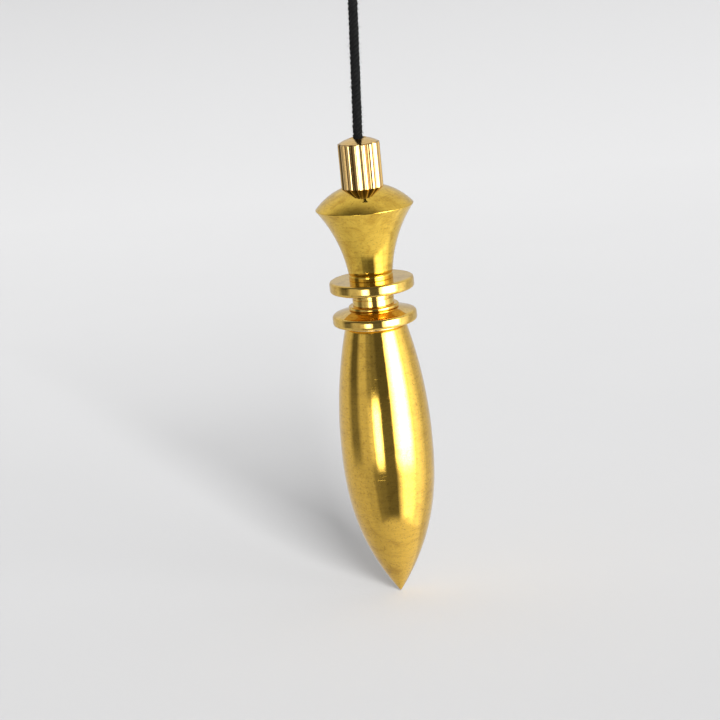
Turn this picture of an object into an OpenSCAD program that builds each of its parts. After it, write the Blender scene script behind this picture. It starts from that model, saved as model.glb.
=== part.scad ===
// Turned brass plumb bob hanging on a cotton cord.
// The bob is drawn with its point at z = 0 and its axis on Z, then moved below the hanging loop,
// whose bearing point is the origin.

/* [Body] */
// Diameter at the belly
belly_d = 17.5; // [16.6:0.1:20]
// Height of the belly above the point
belly_h = 30; // [26:0.5:32]
// Fullness of the point, as the power of its curve
point_power = 2.45; // [2:0.05:3]
// Height of the body's flat top above the point
body_h = 52.9; // [51:0.1:55]
// Diameter at the body's flat top
body_top_d = 11.6; // [11:0.1:12.4]

/* [Chamber] */
// Diameter of the chamber and its tapped mouth
chamber_d = 7; // [6.6:0.1:7.4]
// Height of the chamber's floor above the point
chamber_floor_h = 29; // [26:0.5:32]
// Length of the plug thread in the chamber's mouth
plug_len = 6; // [5:0.5:7]
// Pitch of the plug thread
plug_pitch = 1; // [0.5:0.25:1.25]

/* [Collars] */
// Diameter of both collars
collar_d = 15.9; // [15:0.1:17]
// Thickness of the seat washer under the lower collar
washer_t = 0.6; // [0.4:0.1:0.8]
// Thickness of the lower collar at its rim
lower_rim_t = 1.9; // [1.6:0.1:2.2]
// Rise of the lower collar's conical top
lower_rise = 0.8; // [0.4:0.1:1]
// Thickness of the upper collar
upper_t = 2.15; // [1.8:0.05:2.4]
// Radius of the rounded collar rims
rim_r = 0.55; // [0.3:0.05:0.7]
// Diameter of the ring round the neck
neck_ring_d = 9.5; // [9:0.1:10]
// Thickness of the ring round the neck
neck_ring_t = 0.8; // [0.6:0.1:1]
// Diameter of the neck sleeve
neck_d = 7.8; // [7.4:0.1:8.4]
// Length of the neck sleeve
neck_len = 2.75; // [2.4:0.05:3.2]
// Diameter of the threaded stud through the neck
stud_d = 4; // [3.6:0.1:4.2]
// Pitch of the stud's thread
stud_pitch = 0.7; // [0.5:0.1:0.8]

/* [Head] */
// Diameter of the head's sharp rim
head_rim_d = 18.4; // [17.6:0.1:20]
// Diameter of the short collar at the head's foot
head_foot_d = 8.3; // [7.4:0.1:8.8]
// Height of the short collar at the head's foot
head_foot_h = 1.1; // [0.9:0.1:1.6]
// Height of the head's concave funnel
funnel_h = 12.6; // [12:0.1:14]
// How far the funnel's wall curves in from a straight line between its ends
funnel_sag = 0.9; // [0.6:0.1:1.3]
// Height of the dome above the rim
dome_h = 4.3; // [4:0.1:4.8]

/* [Cord cap] */
// Diameter of the fluted cap
cap_d = 8; // [7.8:0.1:8.4]
// Height of the fluted wall
cap_flute_h = 8.35; // [8.1:0.05:9]
// Height of the cap's rounded top
cap_top_h = 1.2; // [1:0.1:1.4]
// Number of flutes
flute_n = 16; // [12:1:18]
// Diameter of the nipple that the cap screws on
nipple_d = 6; // [5.8:0.1:6]
// Pitch of the nipple's thread
nipple_pitch = 1; // [0.5:0.25:1]

/* [Cord] */
// Diameter of the cord
cord_d = 1.8; // [1.6:0.1:1.9]
// Diameter of the knots
knot_d = 4.2; // [4:0.1:4.3]
// Height of the loop above its knot
loop_h = 13; // [11:0.5:15]

/* [Hidden] */
$fn = 96;
eps = 0.01;

// Fits: running clearance on a radius, and the gap left beside a knot that turns
fit = 0.05;
knot_gap = 0.1;
arc_steps = 24;

// Heights of the stacked faces above the point
washer_z = body_h;
lower_z = washer_z + washer_t;
lower_rim_z = lower_z + lower_rim_t;
ring_z = lower_rim_z + lower_rise;
sleeve_z = ring_z + neck_ring_t;
upper_z = sleeve_z + neck_len;
head_z = upper_z + upper_t;
funnel_z = head_z + head_foot_h;
rim_z = funnel_z + funnel_h;
dome_z = rim_z + dome_h;
cap_seat_drop = 0.65;
cap_z = dome_z - cap_seat_drop;
cap_flute_z = cap_z + cap_flute_h;
cap_mouth_z = cap_flute_z + cap_top_h;

// Stud, nipple and their holes
stud_low_z = lower_z - plug_len + 1;
stud_high_z = head_z + 6;
plug_d = chamber_d - 2 * fit;
nipple_low_z = dome_z - 7;
nipple_bore_d = 4.8;
nipple_bore_z = dome_z - 2;
nipple_high_z = cap_z + 5.4;
cap_roof_z = cap_z + 6.9;
cap_hole_d = 2.6;
cap_flare_d = 3.2;
cap_flare_h = 0.8;
flute_d = 1.3;
flute_in = 0.32;

// Knots: the stop knot bears on the cap's roof, and the end knot carries the loop
stop_knot_len = 4;
stop_knot_z = cap_roof_z - stop_knot_len / 2 - eps;
end_knot_d = knot_d + 0.4;
end_knot_x = 1.7;
end_knot_z = cap_mouth_z + 30.1;
loop_w = 6;
hang_z = end_knot_z + end_knot_d / 2 + loop_h;

// Cord route from the stop knot to the end knot, as sideways offset and height above the cap's mouth
cord_route = [
    [0, -2.6], [0, -1.2], [0.03, 0.4], [0.12, 1.9], [0.24, 4], [0.36, 6.2], [0.49, 8.4], [0.61, 10.6],
    [0.73, 12.8], [0.86, 15], [0.98, 17.2], [1.11, 19.4], [1.23, 21.6], [1.36, 23.8], [1.48, 26],
    [1.58, 27.75]
];
cord_sides = 8;

// Points of an arc from angle a0 to a1 about a centre
function arc(cx, cz, r, a0, a1, n = arc_steps) =
    [for (i = [0:n]) let (a = a0 + (a1 - a0) * i / n) [cx + r * cos(a), cz + r * sin(a)]];

// Radius of the arc that is upright at one end and moves inwards by dx over a height dz
function upright_arc_r(dx, dz) = (dx * dx + dz * dz) / (2 * dx);

// Points of the arc from p0 to p1 that curves towards the axis by sag at its middle
function sagged_arc(p0, p1, sag) =
    let (chord = p1 - p0)
    let (half = norm(chord) / 2)
    let (r = (half * half + sag * sag) / (2 * sag))
    let (away = [chord[1], -chord[0]] / norm(chord))
    let (centre = (p0 + p1) / 2 + (r - sag) * away)
    let (a_mid = atan2(-away[1], -away[0]))
    let (a_half = asin(half / r))
    arc(centre[0], centre[1], r, a_mid + a_half, a_mid - a_half);

// Moves a shape drawn from the bob's point to its place below the loop
module place() {
    translate([-end_knot_x, 0, -hang_z])
        children();
}

// A turned plate with rounded rims, standing on z, with a bore through it
module turned_plate(d, z, h, bore_d, round_r) {
    rotate_extrude()
        difference() {
            union() {
                translate([0, z])
                    square([d / 2 - round_r, h]);
                translate([0, z + round_r])
                    square([d / 2, h - 2 * round_r]);
                translate([d / 2 - round_r, z + round_r])
                    circle(round_r);
                translate([d / 2 - round_r, z + h - round_r])
                    circle(round_r);
            }
            translate([-eps, z - eps])
                square([bore_d / 2 + eps, h + 2 * eps]);
        }
}

// A screwed rod from height low to high, with a lead-in chamfer of half a pitch at both ends
module threaded_rod(d, low, high, pitch) {
    lead = pitch / 2;
    rotate_extrude()
        polygon([
            [0, low], [d / 2 - lead, low], [d / 2, low + lead],
            [d / 2, high - lead], [d / 2 - lead, high], [0, high]
        ]);
}

// A tube swept along points, closed at both ends; each ring lies across the mean direction there
module swept_tube(points, d, sides) {
    last = len(points) - 1;
    rings = [
        for (i = [0:last])
            let (ahead = points[min(i + 1, last)] - points[max(i - 1, 0)])
            let (t = ahead / norm(ahead))
            let (side = [t[2], 0, -t[0]])
            [for (k = [0:sides - 1])
                points[i] + d / 2 * (cos(360 * k / sides) * side + sin(360 * k / sides) * [0, 1, 0])]
    ];
    vertices = [for (ring = rings) each ring];
    walls = [
        for (i = [0:last - 1])
            for (k = [0:sides - 1])
                let (n = (k + 1) % sides)
                each [
                    [i * sides + k, (i + 1) * sides + k, (i + 1) * sides + n],
                    [i * sides + k, (i + 1) * sides + n, i * sides + n]
                ]
    ];
    first_end = [for (k = [0:sides - 1]) k];
    last_end = [for (k = [sides - 1:-1:0]) last * sides + k];
    polyhedron(points = vertices, faces = concat(walls, [first_end, last_end]), convexity = 4);
}

module bob_body() {
    belly_r = belly_d / 2;
    edge = 0.15;
    high_rise = body_h - edge - belly_h;
    high_r = upright_arc_r(belly_r - body_top_d / 2, high_rise);
    flank = concat(
        [for (i = [0:arc_steps - 1])
            let (below = 1 - i / arc_steps)
            [belly_r * (1 - pow(below, point_power)), belly_h * (1 - below)]],
        arc(belly_r - high_r, belly_h, high_r, 0, asin(high_rise / high_r))
    );
    color("goldenrod")
        place()
            difference() {
                rotate_extrude()
                    polygon(concat(flank, [[body_top_d / 2 - edge, body_h], [0, body_h]]));
                translate([0, 0, chamber_floor_h])
                    cylinder(h = body_h, d = chamber_d);
            }
}

module seat_washer() {
    color("khaki")
        place()
            translate([0, 0, washer_z])
                difference() {
                    cylinder(h = washer_t, d = body_top_d);
                    translate([0, 0, -eps])
                        cylinder(h = washer_t + 2 * eps, d = chamber_d);
                }
}

module lower_collar() {
    collar_r = collar_d / 2;
    color("gold")
        place()
            difference() {
                union() {
                    turned_plate(collar_d, lower_z, lower_rim_t, 0, rim_r);
                    translate([0, 0, lower_rim_z - eps])
                        cylinder(h = lower_rise + eps, r1 = collar_r - rim_r, r2 = neck_ring_d / 2);
                    threaded_rod(plug_d, lower_z - plug_len, lower_rim_z, plug_pitch);
                }
                translate([0, 0, stud_low_z])
                    cylinder(h = plug_len + collar_d, d = stud_d + 2 * fit);
            }
}

module neck_ring() {
    color("gold")
        place()
            turned_plate(neck_ring_d, ring_z, neck_ring_t, stud_d + 2 * fit, neck_ring_t / 2 - eps);
}

module neck_sleeve() {
    groove_w = 0.3;
    groove_in = 0.15;
    color("goldenrod")
        place()
            difference() {
                translate([0, 0, sleeve_z])
                    cylinder(h = neck_len, d = neck_d);
                translate([0, 0, sleeve_z - eps])
                    cylinder(h = neck_len + 2 * eps, d = stud_d + 2 * fit);
                translate([0, 0, sleeve_z + neck_len / 2])
                    rotate_extrude()
                        translate([neck_d / 2 - groove_in, -groove_w / 2])
                            square([groove_w, groove_w]);
            }
}

module neck_stud() {
    color("darkgoldenrod")
        place()
            threaded_rod(stud_d, stud_low_z, stud_high_z, stud_pitch);
}

module upper_collar() {
    color("gold")
        place()
            turned_plate(collar_d, upper_z, upper_t, stud_d + 2 * fit, rim_r);
}

module head() {
    foot_r = head_foot_d / 2;
    rim_r_out = head_rim_d / 2;
    dome_r = upright_arc_r(dome_h, rim_r_out);
    dome_a = asin(rim_r_out / dome_r);
    profile = concat(
        [[0, head_z], [foot_r, head_z]],
        sagged_arc([foot_r, funnel_z], [rim_r_out, rim_z], funnel_sag),
        arc(0, dome_z - dome_r, dome_r, 90 - dome_a, 90)
    );
    color("gold")
        place()
            difference() {
                rotate_extrude()
                    polygon(profile);
                translate([0, 0, head_z - eps])
                    cylinder(h = stud_high_z - head_z + 1, d = stud_d + 2 * fit);
                translate([0, 0, nipple_low_z])
                    cylinder(h = dome_h + nipple_d + cap_d, d = nipple_d + 2 * fit);
                translate([0, 0, cap_z])
                    cylinder(h = dome_h, d = cap_d + 2 * fit);
            }
}

module cap_nipple() {
    color("darkgoldenrod")
        place()
            difference() {
                threaded_rod(nipple_d, nipple_low_z, nipple_high_z, nipple_pitch);
                translate([0, 0, nipple_bore_z])
                    cylinder(h = nipple_high_z, d = nipple_bore_d);
            }
}

module cord_cap() {
    cap_r = cap_d / 2;
    crown_r = upright_arc_r(cap_top_h, cap_r);
    crown_a = asin(cap_r / crown_r);
    profile = concat(
        [[0, cap_z], [cap_r, cap_z]],
        arc(0, cap_mouth_z - crown_r, crown_r, 90 - crown_a, 90)
    );
    color("peru")
        place()
            difference() {
                rotate_extrude()
                    polygon(profile);
                for (i = [0:flute_n - 1])
                    rotate(360 * i / flute_n - 90)
                        translate([cap_r + flute_d / 2 - flute_in, 0, cap_z - eps])
                            cylinder(h = cap_flute_h + cap_top_h, d = flute_d, $fn = 32);
                translate([0, 0, cap_z - eps])
                    cylinder(h = cap_roof_z - cap_z + eps, d = nipple_d + 2 * fit);
                translate([0, 0, cap_roof_z - eps])
                    cylinder(h = cap_d, d = cap_hole_d);
                translate([0, 0, cap_mouth_z - cap_flare_h])
                    cylinder(h = cap_flare_h + eps, d1 = cap_hole_d, d2 = cap_flare_d);
            }
}

module stop_knot() {
    waist = knot_d - stop_knot_len;
    color("dimgray")
        place()
            translate([0, 0, stop_knot_z])
                rotate_extrude()
                    intersection() {
                        translate([waist / 2, 0])
                            circle(d = stop_knot_len);
                        translate([0, -stop_knot_len / 2])
                            square([knot_d / 2, stop_knot_len]);
                    }
}

module cord() {
    route = [for (p = cord_route) [p[0], 0, cap_mouth_z + p[1]]];
    color("dimgray")
        place()
            swept_tube(route, cord_d, cord_sides);
}

module end_knot() {
    color("dimgray")
        place()
            translate([end_knot_x, 0, end_knot_z])
                sphere(d = end_knot_d);
}

module hang_loop() {
    foot_z = end_knot_d / 2 + 2 * knot_gap;
    strand_x = cord_d / 2 + knot_gap;
    bow_z = end_knot_d / 2 + loop_h - loop_w / 2 + cord_d / 2;
    bow_steps = 12;
    right = [[strand_x, foot_z], [strand_x + 0.4, foot_z + 2.5], [strand_x + 1.2, foot_z + 5.2]];
    bow = arc(0, bow_z, loop_w / 2, 0, 180, bow_steps);
    left = [for (i = [len(right) - 1:-1:0]) [-right[i][0], right[i][1]]];
    outline = concat(right, bow, left);
    color("dimgray")
        place()
            swept_tube([for (p = outline) [end_knot_x + p[0], 0, end_knot_z + p[1]]], cord_d, cord_sides);
}

bob_body();
seat_washer();
lower_collar();
neck_ring();
neck_sleeve();
neck_stud();
upper_collar();
head();
cap_nipple();
cord_cap();
stop_knot();
cord();
end_knot();
hang_loop();
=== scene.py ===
"""Looks of a turned brass plumb bob that hangs on a black cotton cord.

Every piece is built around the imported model, in its frame and in metres. Turned pieces are drawn as
outlines of radius and height above the point, in millimetres, and scaled once when their mesh is made.
"""

import logging
import math
import random
from dataclasses import dataclass, field
from enum import Enum
from typing import Callable, Optional

import bmesh
import bpy
from mathutils import Matrix, Vector


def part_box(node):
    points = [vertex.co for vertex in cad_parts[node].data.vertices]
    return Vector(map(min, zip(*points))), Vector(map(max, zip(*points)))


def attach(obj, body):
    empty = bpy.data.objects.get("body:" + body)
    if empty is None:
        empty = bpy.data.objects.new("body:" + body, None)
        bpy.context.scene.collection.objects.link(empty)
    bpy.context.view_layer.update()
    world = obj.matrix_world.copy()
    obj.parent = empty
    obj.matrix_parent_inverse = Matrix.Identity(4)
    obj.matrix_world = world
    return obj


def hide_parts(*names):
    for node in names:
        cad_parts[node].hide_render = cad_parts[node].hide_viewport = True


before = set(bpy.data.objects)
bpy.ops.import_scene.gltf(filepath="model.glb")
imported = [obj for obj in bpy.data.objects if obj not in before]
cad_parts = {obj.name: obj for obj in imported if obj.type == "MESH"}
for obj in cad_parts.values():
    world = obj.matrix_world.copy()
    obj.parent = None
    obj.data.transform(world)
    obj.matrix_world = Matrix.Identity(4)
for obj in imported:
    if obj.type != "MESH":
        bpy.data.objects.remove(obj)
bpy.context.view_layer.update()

MM = 0.001
# Air left between faces that touch, in millimetres, so that moving pieces never share a face
CONTACT_GAP = 0.01
LOG = logging.getLogger("plumb_bob")

Point2 = tuple[float, float]
RadiusRule = Callable[[float, float, float], float]


class Slot(Enum):
    """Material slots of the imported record."""

    POLISHED = "polished_brass"
    COLLAR = "collar_brass"
    SATIN = "satin_brass"
    CAP = "cap_brass"
    PALE = "pale_brass"
    THREAD = "thread_brass"
    COTTON = "black_cotton"


class Body(Enum):
    """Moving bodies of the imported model."""

    GRIP = "grip"
    KNOT = "knot"
    LINE = "line"
    SWIVEL = "swivel"
    CAP = "cap"
    UPPER = "upper"
    WASHER = "washer"
    BOB = "bob"


# ---------------------------------------------------------------------------
# Shared measures
# ---------------------------------------------------------------------------


@dataclass(frozen=True)
class Datum:
    """Where the bob's point stands in the frame, and heights measured from it.

    Attributes:
        axis_x: X of the bob's axis, in metres.
        point_z: Z of the bob's point, in metres.
    """

    axis_x: float
    point_z: float

    @classmethod
    def from_frame(cls) -> "Datum":
        """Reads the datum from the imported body.

        Returns:
            The datum at the bob's point.
        """
        low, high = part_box("bob_body")
        return cls(axis_x=(low.x + high.x) / 2, point_z=low.z)

    def span(self, node: str) -> tuple[float, float, float]:
        """Measures a node.

        Args:
            node: Name of the CAD node.

        Returns:
            Its lowest and highest height above the point and its outer radius, in millimetres.
        """
        low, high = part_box(node)
        return (
            (low.z - self.point_z) / MM,
            (high.z - self.point_z) / MM,
            (high.x - low.x) / 2 / MM,
        )

    def place(self, offset_mm: float = 0.0, height_mm: float = 0.0) -> Vector:
        """Turns an offset from the axis and a height above the point into a place in the frame.

        Args:
            offset_mm: Sideways offset along X.
            height_mm: Height above the point.

        Returns:
            The place in metres.
        """
        return Vector((self.axis_x + offset_mm * MM, 0.0, self.point_z + height_mm * MM))


# ---------------------------------------------------------------------------
# Turned meshes
# ---------------------------------------------------------------------------


@dataclass(frozen=True)
class Corner:
    """One corner of a turned outline.

    Attributes:
        r: Radius in millimetres.
        z: Height above the bob's point in millimetres.
        soft: Radius of the edge rounding in millimetres, 0 for none.
    """

    r: float
    z: float
    soft: float = 0.0


def arc_points(centre: Point2, radius: float, start: float, end: float, steps: int) -> list[Corner]:
    """Computes corners along an arc.

    Args:
        centre: Centre as radius and height.
        radius: Radius of the arc.
        start: First angle in radians.
        end: Last angle in radians.
        steps: Number of chords.

    Returns:
        The corners from start to end.
    """
    found = []
    for i in range(steps + 1):
        a = start + (end - start) * i / steps
        found.append(Corner(centre[0] + radius * math.cos(a), centre[1] + radius * math.sin(a)))
    return found


def upright_arc_radius(inward: float, rise: float) -> float:
    """Radius of an arc that starts upright and moves inward while it rises."""
    return (inward * inward + rise * rise) / (2 * inward)


def sagged_arc(first: Point2, last: Point2, sag: float, steps: int) -> list[Corner]:
    """Computes corners on an arc that curves towards the axis.

    Args:
        first: Lower end as radius and height.
        last: Upper end.
        sag: How far the arc's middle lies from the straight line between the ends.
        steps: Number of chords.

    Returns:
        The corners from the first end to the last.
    """
    start, end = Vector(first), Vector(last)
    half = (end - start).length / 2
    radius = (half * half + sag * sag) / (2 * sag)
    away = Vector((end.y - start.y, start.x - end.x)).normalized()
    centre = (start + end) / 2 + away * (radius - sag)
    middle = math.atan2(-away.y, -away.x)
    spread = math.asin(half / radius)
    return arc_points((centre.x, centre.y), radius, middle + spread, middle - spread, steps)


def wall(r: float, z0: float, z1: float, step: float) -> list[Corner]:
    """Computes evenly spaced corners on an upright wall, ends left out.

    Args:
        r: Radius of the wall.
        z0: Height where the wall starts.
        z1: Height where the wall ends.
        step: Largest distance between corners.

    Returns:
        The corners between the two ends.
    """
    count = max(1, math.ceil(abs(z1 - z0) / step))
    return [Corner(r, z0 + (z1 - z0) * i / count) for i in range(1, count)]


def soften(corners: list[Corner], chords: int = 4) -> list[Point2]:
    """Rounds the corners of a closed outline and adds a support point beside each rounding.

    Args:
        corners: The outline's corners in order.
        chords: Number of chords in each rounding.

    Returns:
        The points of the finished outline.
    """
    points: list[Point2] = []
    count = len(corners)
    for i, corner in enumerate(corners):
        here = Vector((corner.r, corner.z))
        if corner.soft <= 0:
            points.append((here.x, here.y))
            continue
        back = Vector((corners[i - 1].r, corners[i - 1].z)) - here
        ahead = Vector((corners[(i + 1) % count].r, corners[(i + 1) % count].z)) - here
        reach = min(corner.soft, 0.45 * back.length, 0.45 * ahead.length)
        first = here + back.normalized() * reach
        last = here + ahead.normalized() * reach
        guard = min(0.35 * reach + 0.02, 0.04 * back.length + 0.01)
        points.append(tuple(first + back.normalized() * guard))
        for k in range(chords + 1):
            t = k / chords
            bend = first.lerp(here, t).lerp(here.lerp(last, t), t)
            points.append((bend.x, bend.y))
        guard = min(0.35 * reach + 0.02, 0.04 * ahead.length + 0.01)
        points.append(tuple(last + ahead.normalized() * guard))
    return points


def mark_sharp_edges(mesh: bpy.types.Mesh, limit_deg: float = 42.0) -> None:
    """Smooths a mesh and leaves its real edges sharp.

    Args:
        mesh: The mesh to shade.
        limit_deg: Faces that meet at more than this stay sharp.
    """
    bm = bmesh.new()
    bm.from_mesh(mesh)
    limit = math.radians(limit_deg)
    for face in bm.faces:
        face.smooth = True
    for edge in bm.edges:
        edge.smooth = len(edge.link_faces) != 2 or edge.calc_face_angle(0.0) < limit
    bm.to_mesh(mesh)
    bm.free()


def turned(
    name: str,
    datum: Datum,
    outline: list[Corner],
    segments: int = 160,
    radius_rule: Optional[RadiusRule] = None,
) -> bpy.types.Object:
    """Turns a closed outline round the bob's axis.

    Args:
        name: Name of the piece.
        datum: The bob's datum.
        outline: Corners in order; the first and last are on the axis if the piece has no bore.
        segments: Number of steps round the axis.
        radius_rule: Gives the radius from angle, nominal radius and height, for threads and flutes.

    Returns:
        The new object, with its origin at the bob's point.
    """
    points = soften(outline)
    bm = bmesh.new()
    rings: list[list[bmesh.types.BMVert]] = []
    for r, z in points:
        if r < 1e-6:
            rings.append([bm.verts.new((0.0, 0.0, z * MM))])
            continue
        ring = []
        for k in range(segments):
            a = 2 * math.pi * k / segments
            rr = radius_rule(a, r, z) if radius_rule else r
            ring.append(bm.verts.new((rr * math.cos(a) * MM, rr * math.sin(a) * MM, z * MM)))
        rings.append(ring)
    open_ends = len(rings[0]) == 1 and len(rings[-1]) == 1
    pairs = list(zip(rings, rings[1:]))
    if not open_ends:
        pairs.append((rings[-1], rings[0]))
    for low, high in pairs:
        for k in range(segments):
            n = (k + 1) % segments
            if len(low) == 1:
                bm.faces.new((low[0], high[n], high[k]))
            elif len(high) == 1:
                bm.faces.new((low[k], low[n], high[0]))
            else:
                bm.faces.new((low[k], low[n], high[n], high[k]))
    bmesh.ops.recalc_face_normals(bm, faces=bm.faces)
    mesh = bpy.data.meshes.new(name)
    bm.to_mesh(mesh)
    bm.free()
    mark_sharp_edges(mesh)
    piece = bpy.data.objects.new(name, mesh)
    piece.location = datum.place()
    bpy.context.scene.collection.objects.link(piece)
    return piece


@dataclass(frozen=True)
class Thread:
    """A screw thread cut in a turned wall.

    Attributes:
        low: Height where the thread starts.
        high: Height where it ends.
        radius: Radius of the plain wall that it is cut in.
        pitch: Rise in one turn.
        depth: Depth of the cut; negative cuts outwards, as in a tapped hole.
    """

    low: float
    high: float
    radius: float
    pitch: float = 1.0
    depth: float = 0.3

    def radius_at(self, angle: float, r: float, z: float) -> float:
        """Gives the cut radius.

        Args:
            angle: Angle round the axis in radians.
            r: Nominal radius.
            z: Height above the point.

        Returns:
            The radius with the thread cut in it.
        """
        if abs(r - self.radius) > 0.02 or not self.low < z < self.high:
            return r
        turn = (z / self.pitch - angle / (2 * math.pi)) % 1.0
        groove = 1.0 - abs(2.0 * turn - 1.0)
        run_out = min(1.0, (z - self.low) / self.pitch, (self.high - z) / self.pitch)
        return r - self.depth * min(1.0, 1.25 * groove) * max(0.0, run_out)

    def corners(self, upwards: bool) -> list[Corner]:
        """Corners close enough together to carry the thread, from low to high or back."""
        z0, z1 = (self.low, self.high) if upwards else (self.high, self.low)
        ends = [Corner(self.radius, z0)], [Corner(self.radius, z1)]
        return ends[0] + wall(self.radius, z0, z1, self.pitch / 10) + ends[1]


def with_threads(*threads: Thread) -> RadiusRule:
    """Joins several threads into one rule for the radius.

    Args:
        *threads: The threads of one piece.

    Returns:
        The rule that turned() uses.
    """

    def rule(angle: float, r: float, z: float) -> float:
        """Cuts every thread in turn."""
        for thread in threads:
            r = thread.radius_at(angle, r, z)
        return r

    return rule


def dress(
    piece: bpy.types.Object,
    material: bpy.types.Material,
    body: Body,
    slot: Slot,
    *nodes: str,
) -> bpy.types.Object:
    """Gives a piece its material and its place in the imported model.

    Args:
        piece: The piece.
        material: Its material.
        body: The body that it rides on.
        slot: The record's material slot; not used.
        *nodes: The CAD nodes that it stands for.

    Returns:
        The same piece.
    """
    piece.data.materials.clear()
    piece.data.materials.append(material)
    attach(piece, body.value)
    if nodes:
        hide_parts(*nodes)
    LOG.info("%s rides on %s", piece.name, body.value)
    return piece


# ---------------------------------------------------------------------------
# Finishes
# ---------------------------------------------------------------------------


@dataclass(frozen=True)
class BrassFinish:
    """How one kind of brass surface looks.

    Attributes:
        name: Name of the material.
        bright: Colour of clean metal.
        dull: Colour of dull metal, in stains, smears and the darkening towards the point.
        roughness: Roughness of clean metal.
        rough_spread: Roughness added by marks and stains.
        mark_depth: Depth of the turning marks in metres.
        marks_per_mm: How close the turning marks are.
        ripple_depth: Depth of the slow ripple in the polish in metres.
        stain: Share of the surface that is stained, 0 to 1.
        speckle: Strength of the fine dark specks, 0 to 1.
        scratch: Strength of the fine scratches, 0 to 1.
        smear: Strength of the smears along the turning, 0 to 1.
        dull_rough: Roughness added where the metal is dull.
        darkening_from: Height in metres below which the surface grows darker and duller.
        darkening_to: Height in metres where it is darkest and dullest.
        anisotropy: Anisotropy of the brushed surface.
        lacquer: Weight of the clear lacquer, 0 to 1.
        groove_shade: Strength of the painted shade in the grooves, 0 to 1.
        groove_shade_floor: Radius in metres at the bottom of the grooves, where the painted shade is
            darkest.
        groove_shade_rim: Radius in metres at which the painted shade ends.
    """

    name: str
    bright: tuple[float, float, float]
    dull: tuple[float, float, float]
    roughness: float
    rough_spread: float
    mark_depth: float
    marks_per_mm: float = 6.0
    ripple_depth: float = 0.0
    stain: float = 0.3
    speckle: float = 0.2
    scratch: float = 0.2
    smear: float = 0.3
    dull_rough: float = 0.25
    darkening_from: float = -1.0
    darkening_to: float = -2.0
    anisotropy: float = 0.0
    lacquer: float = 0.0
    groove_shade: float = 0.0
    groove_shade_floor: float = 0.0
    groove_shade_rim: float = 0.001


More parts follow.
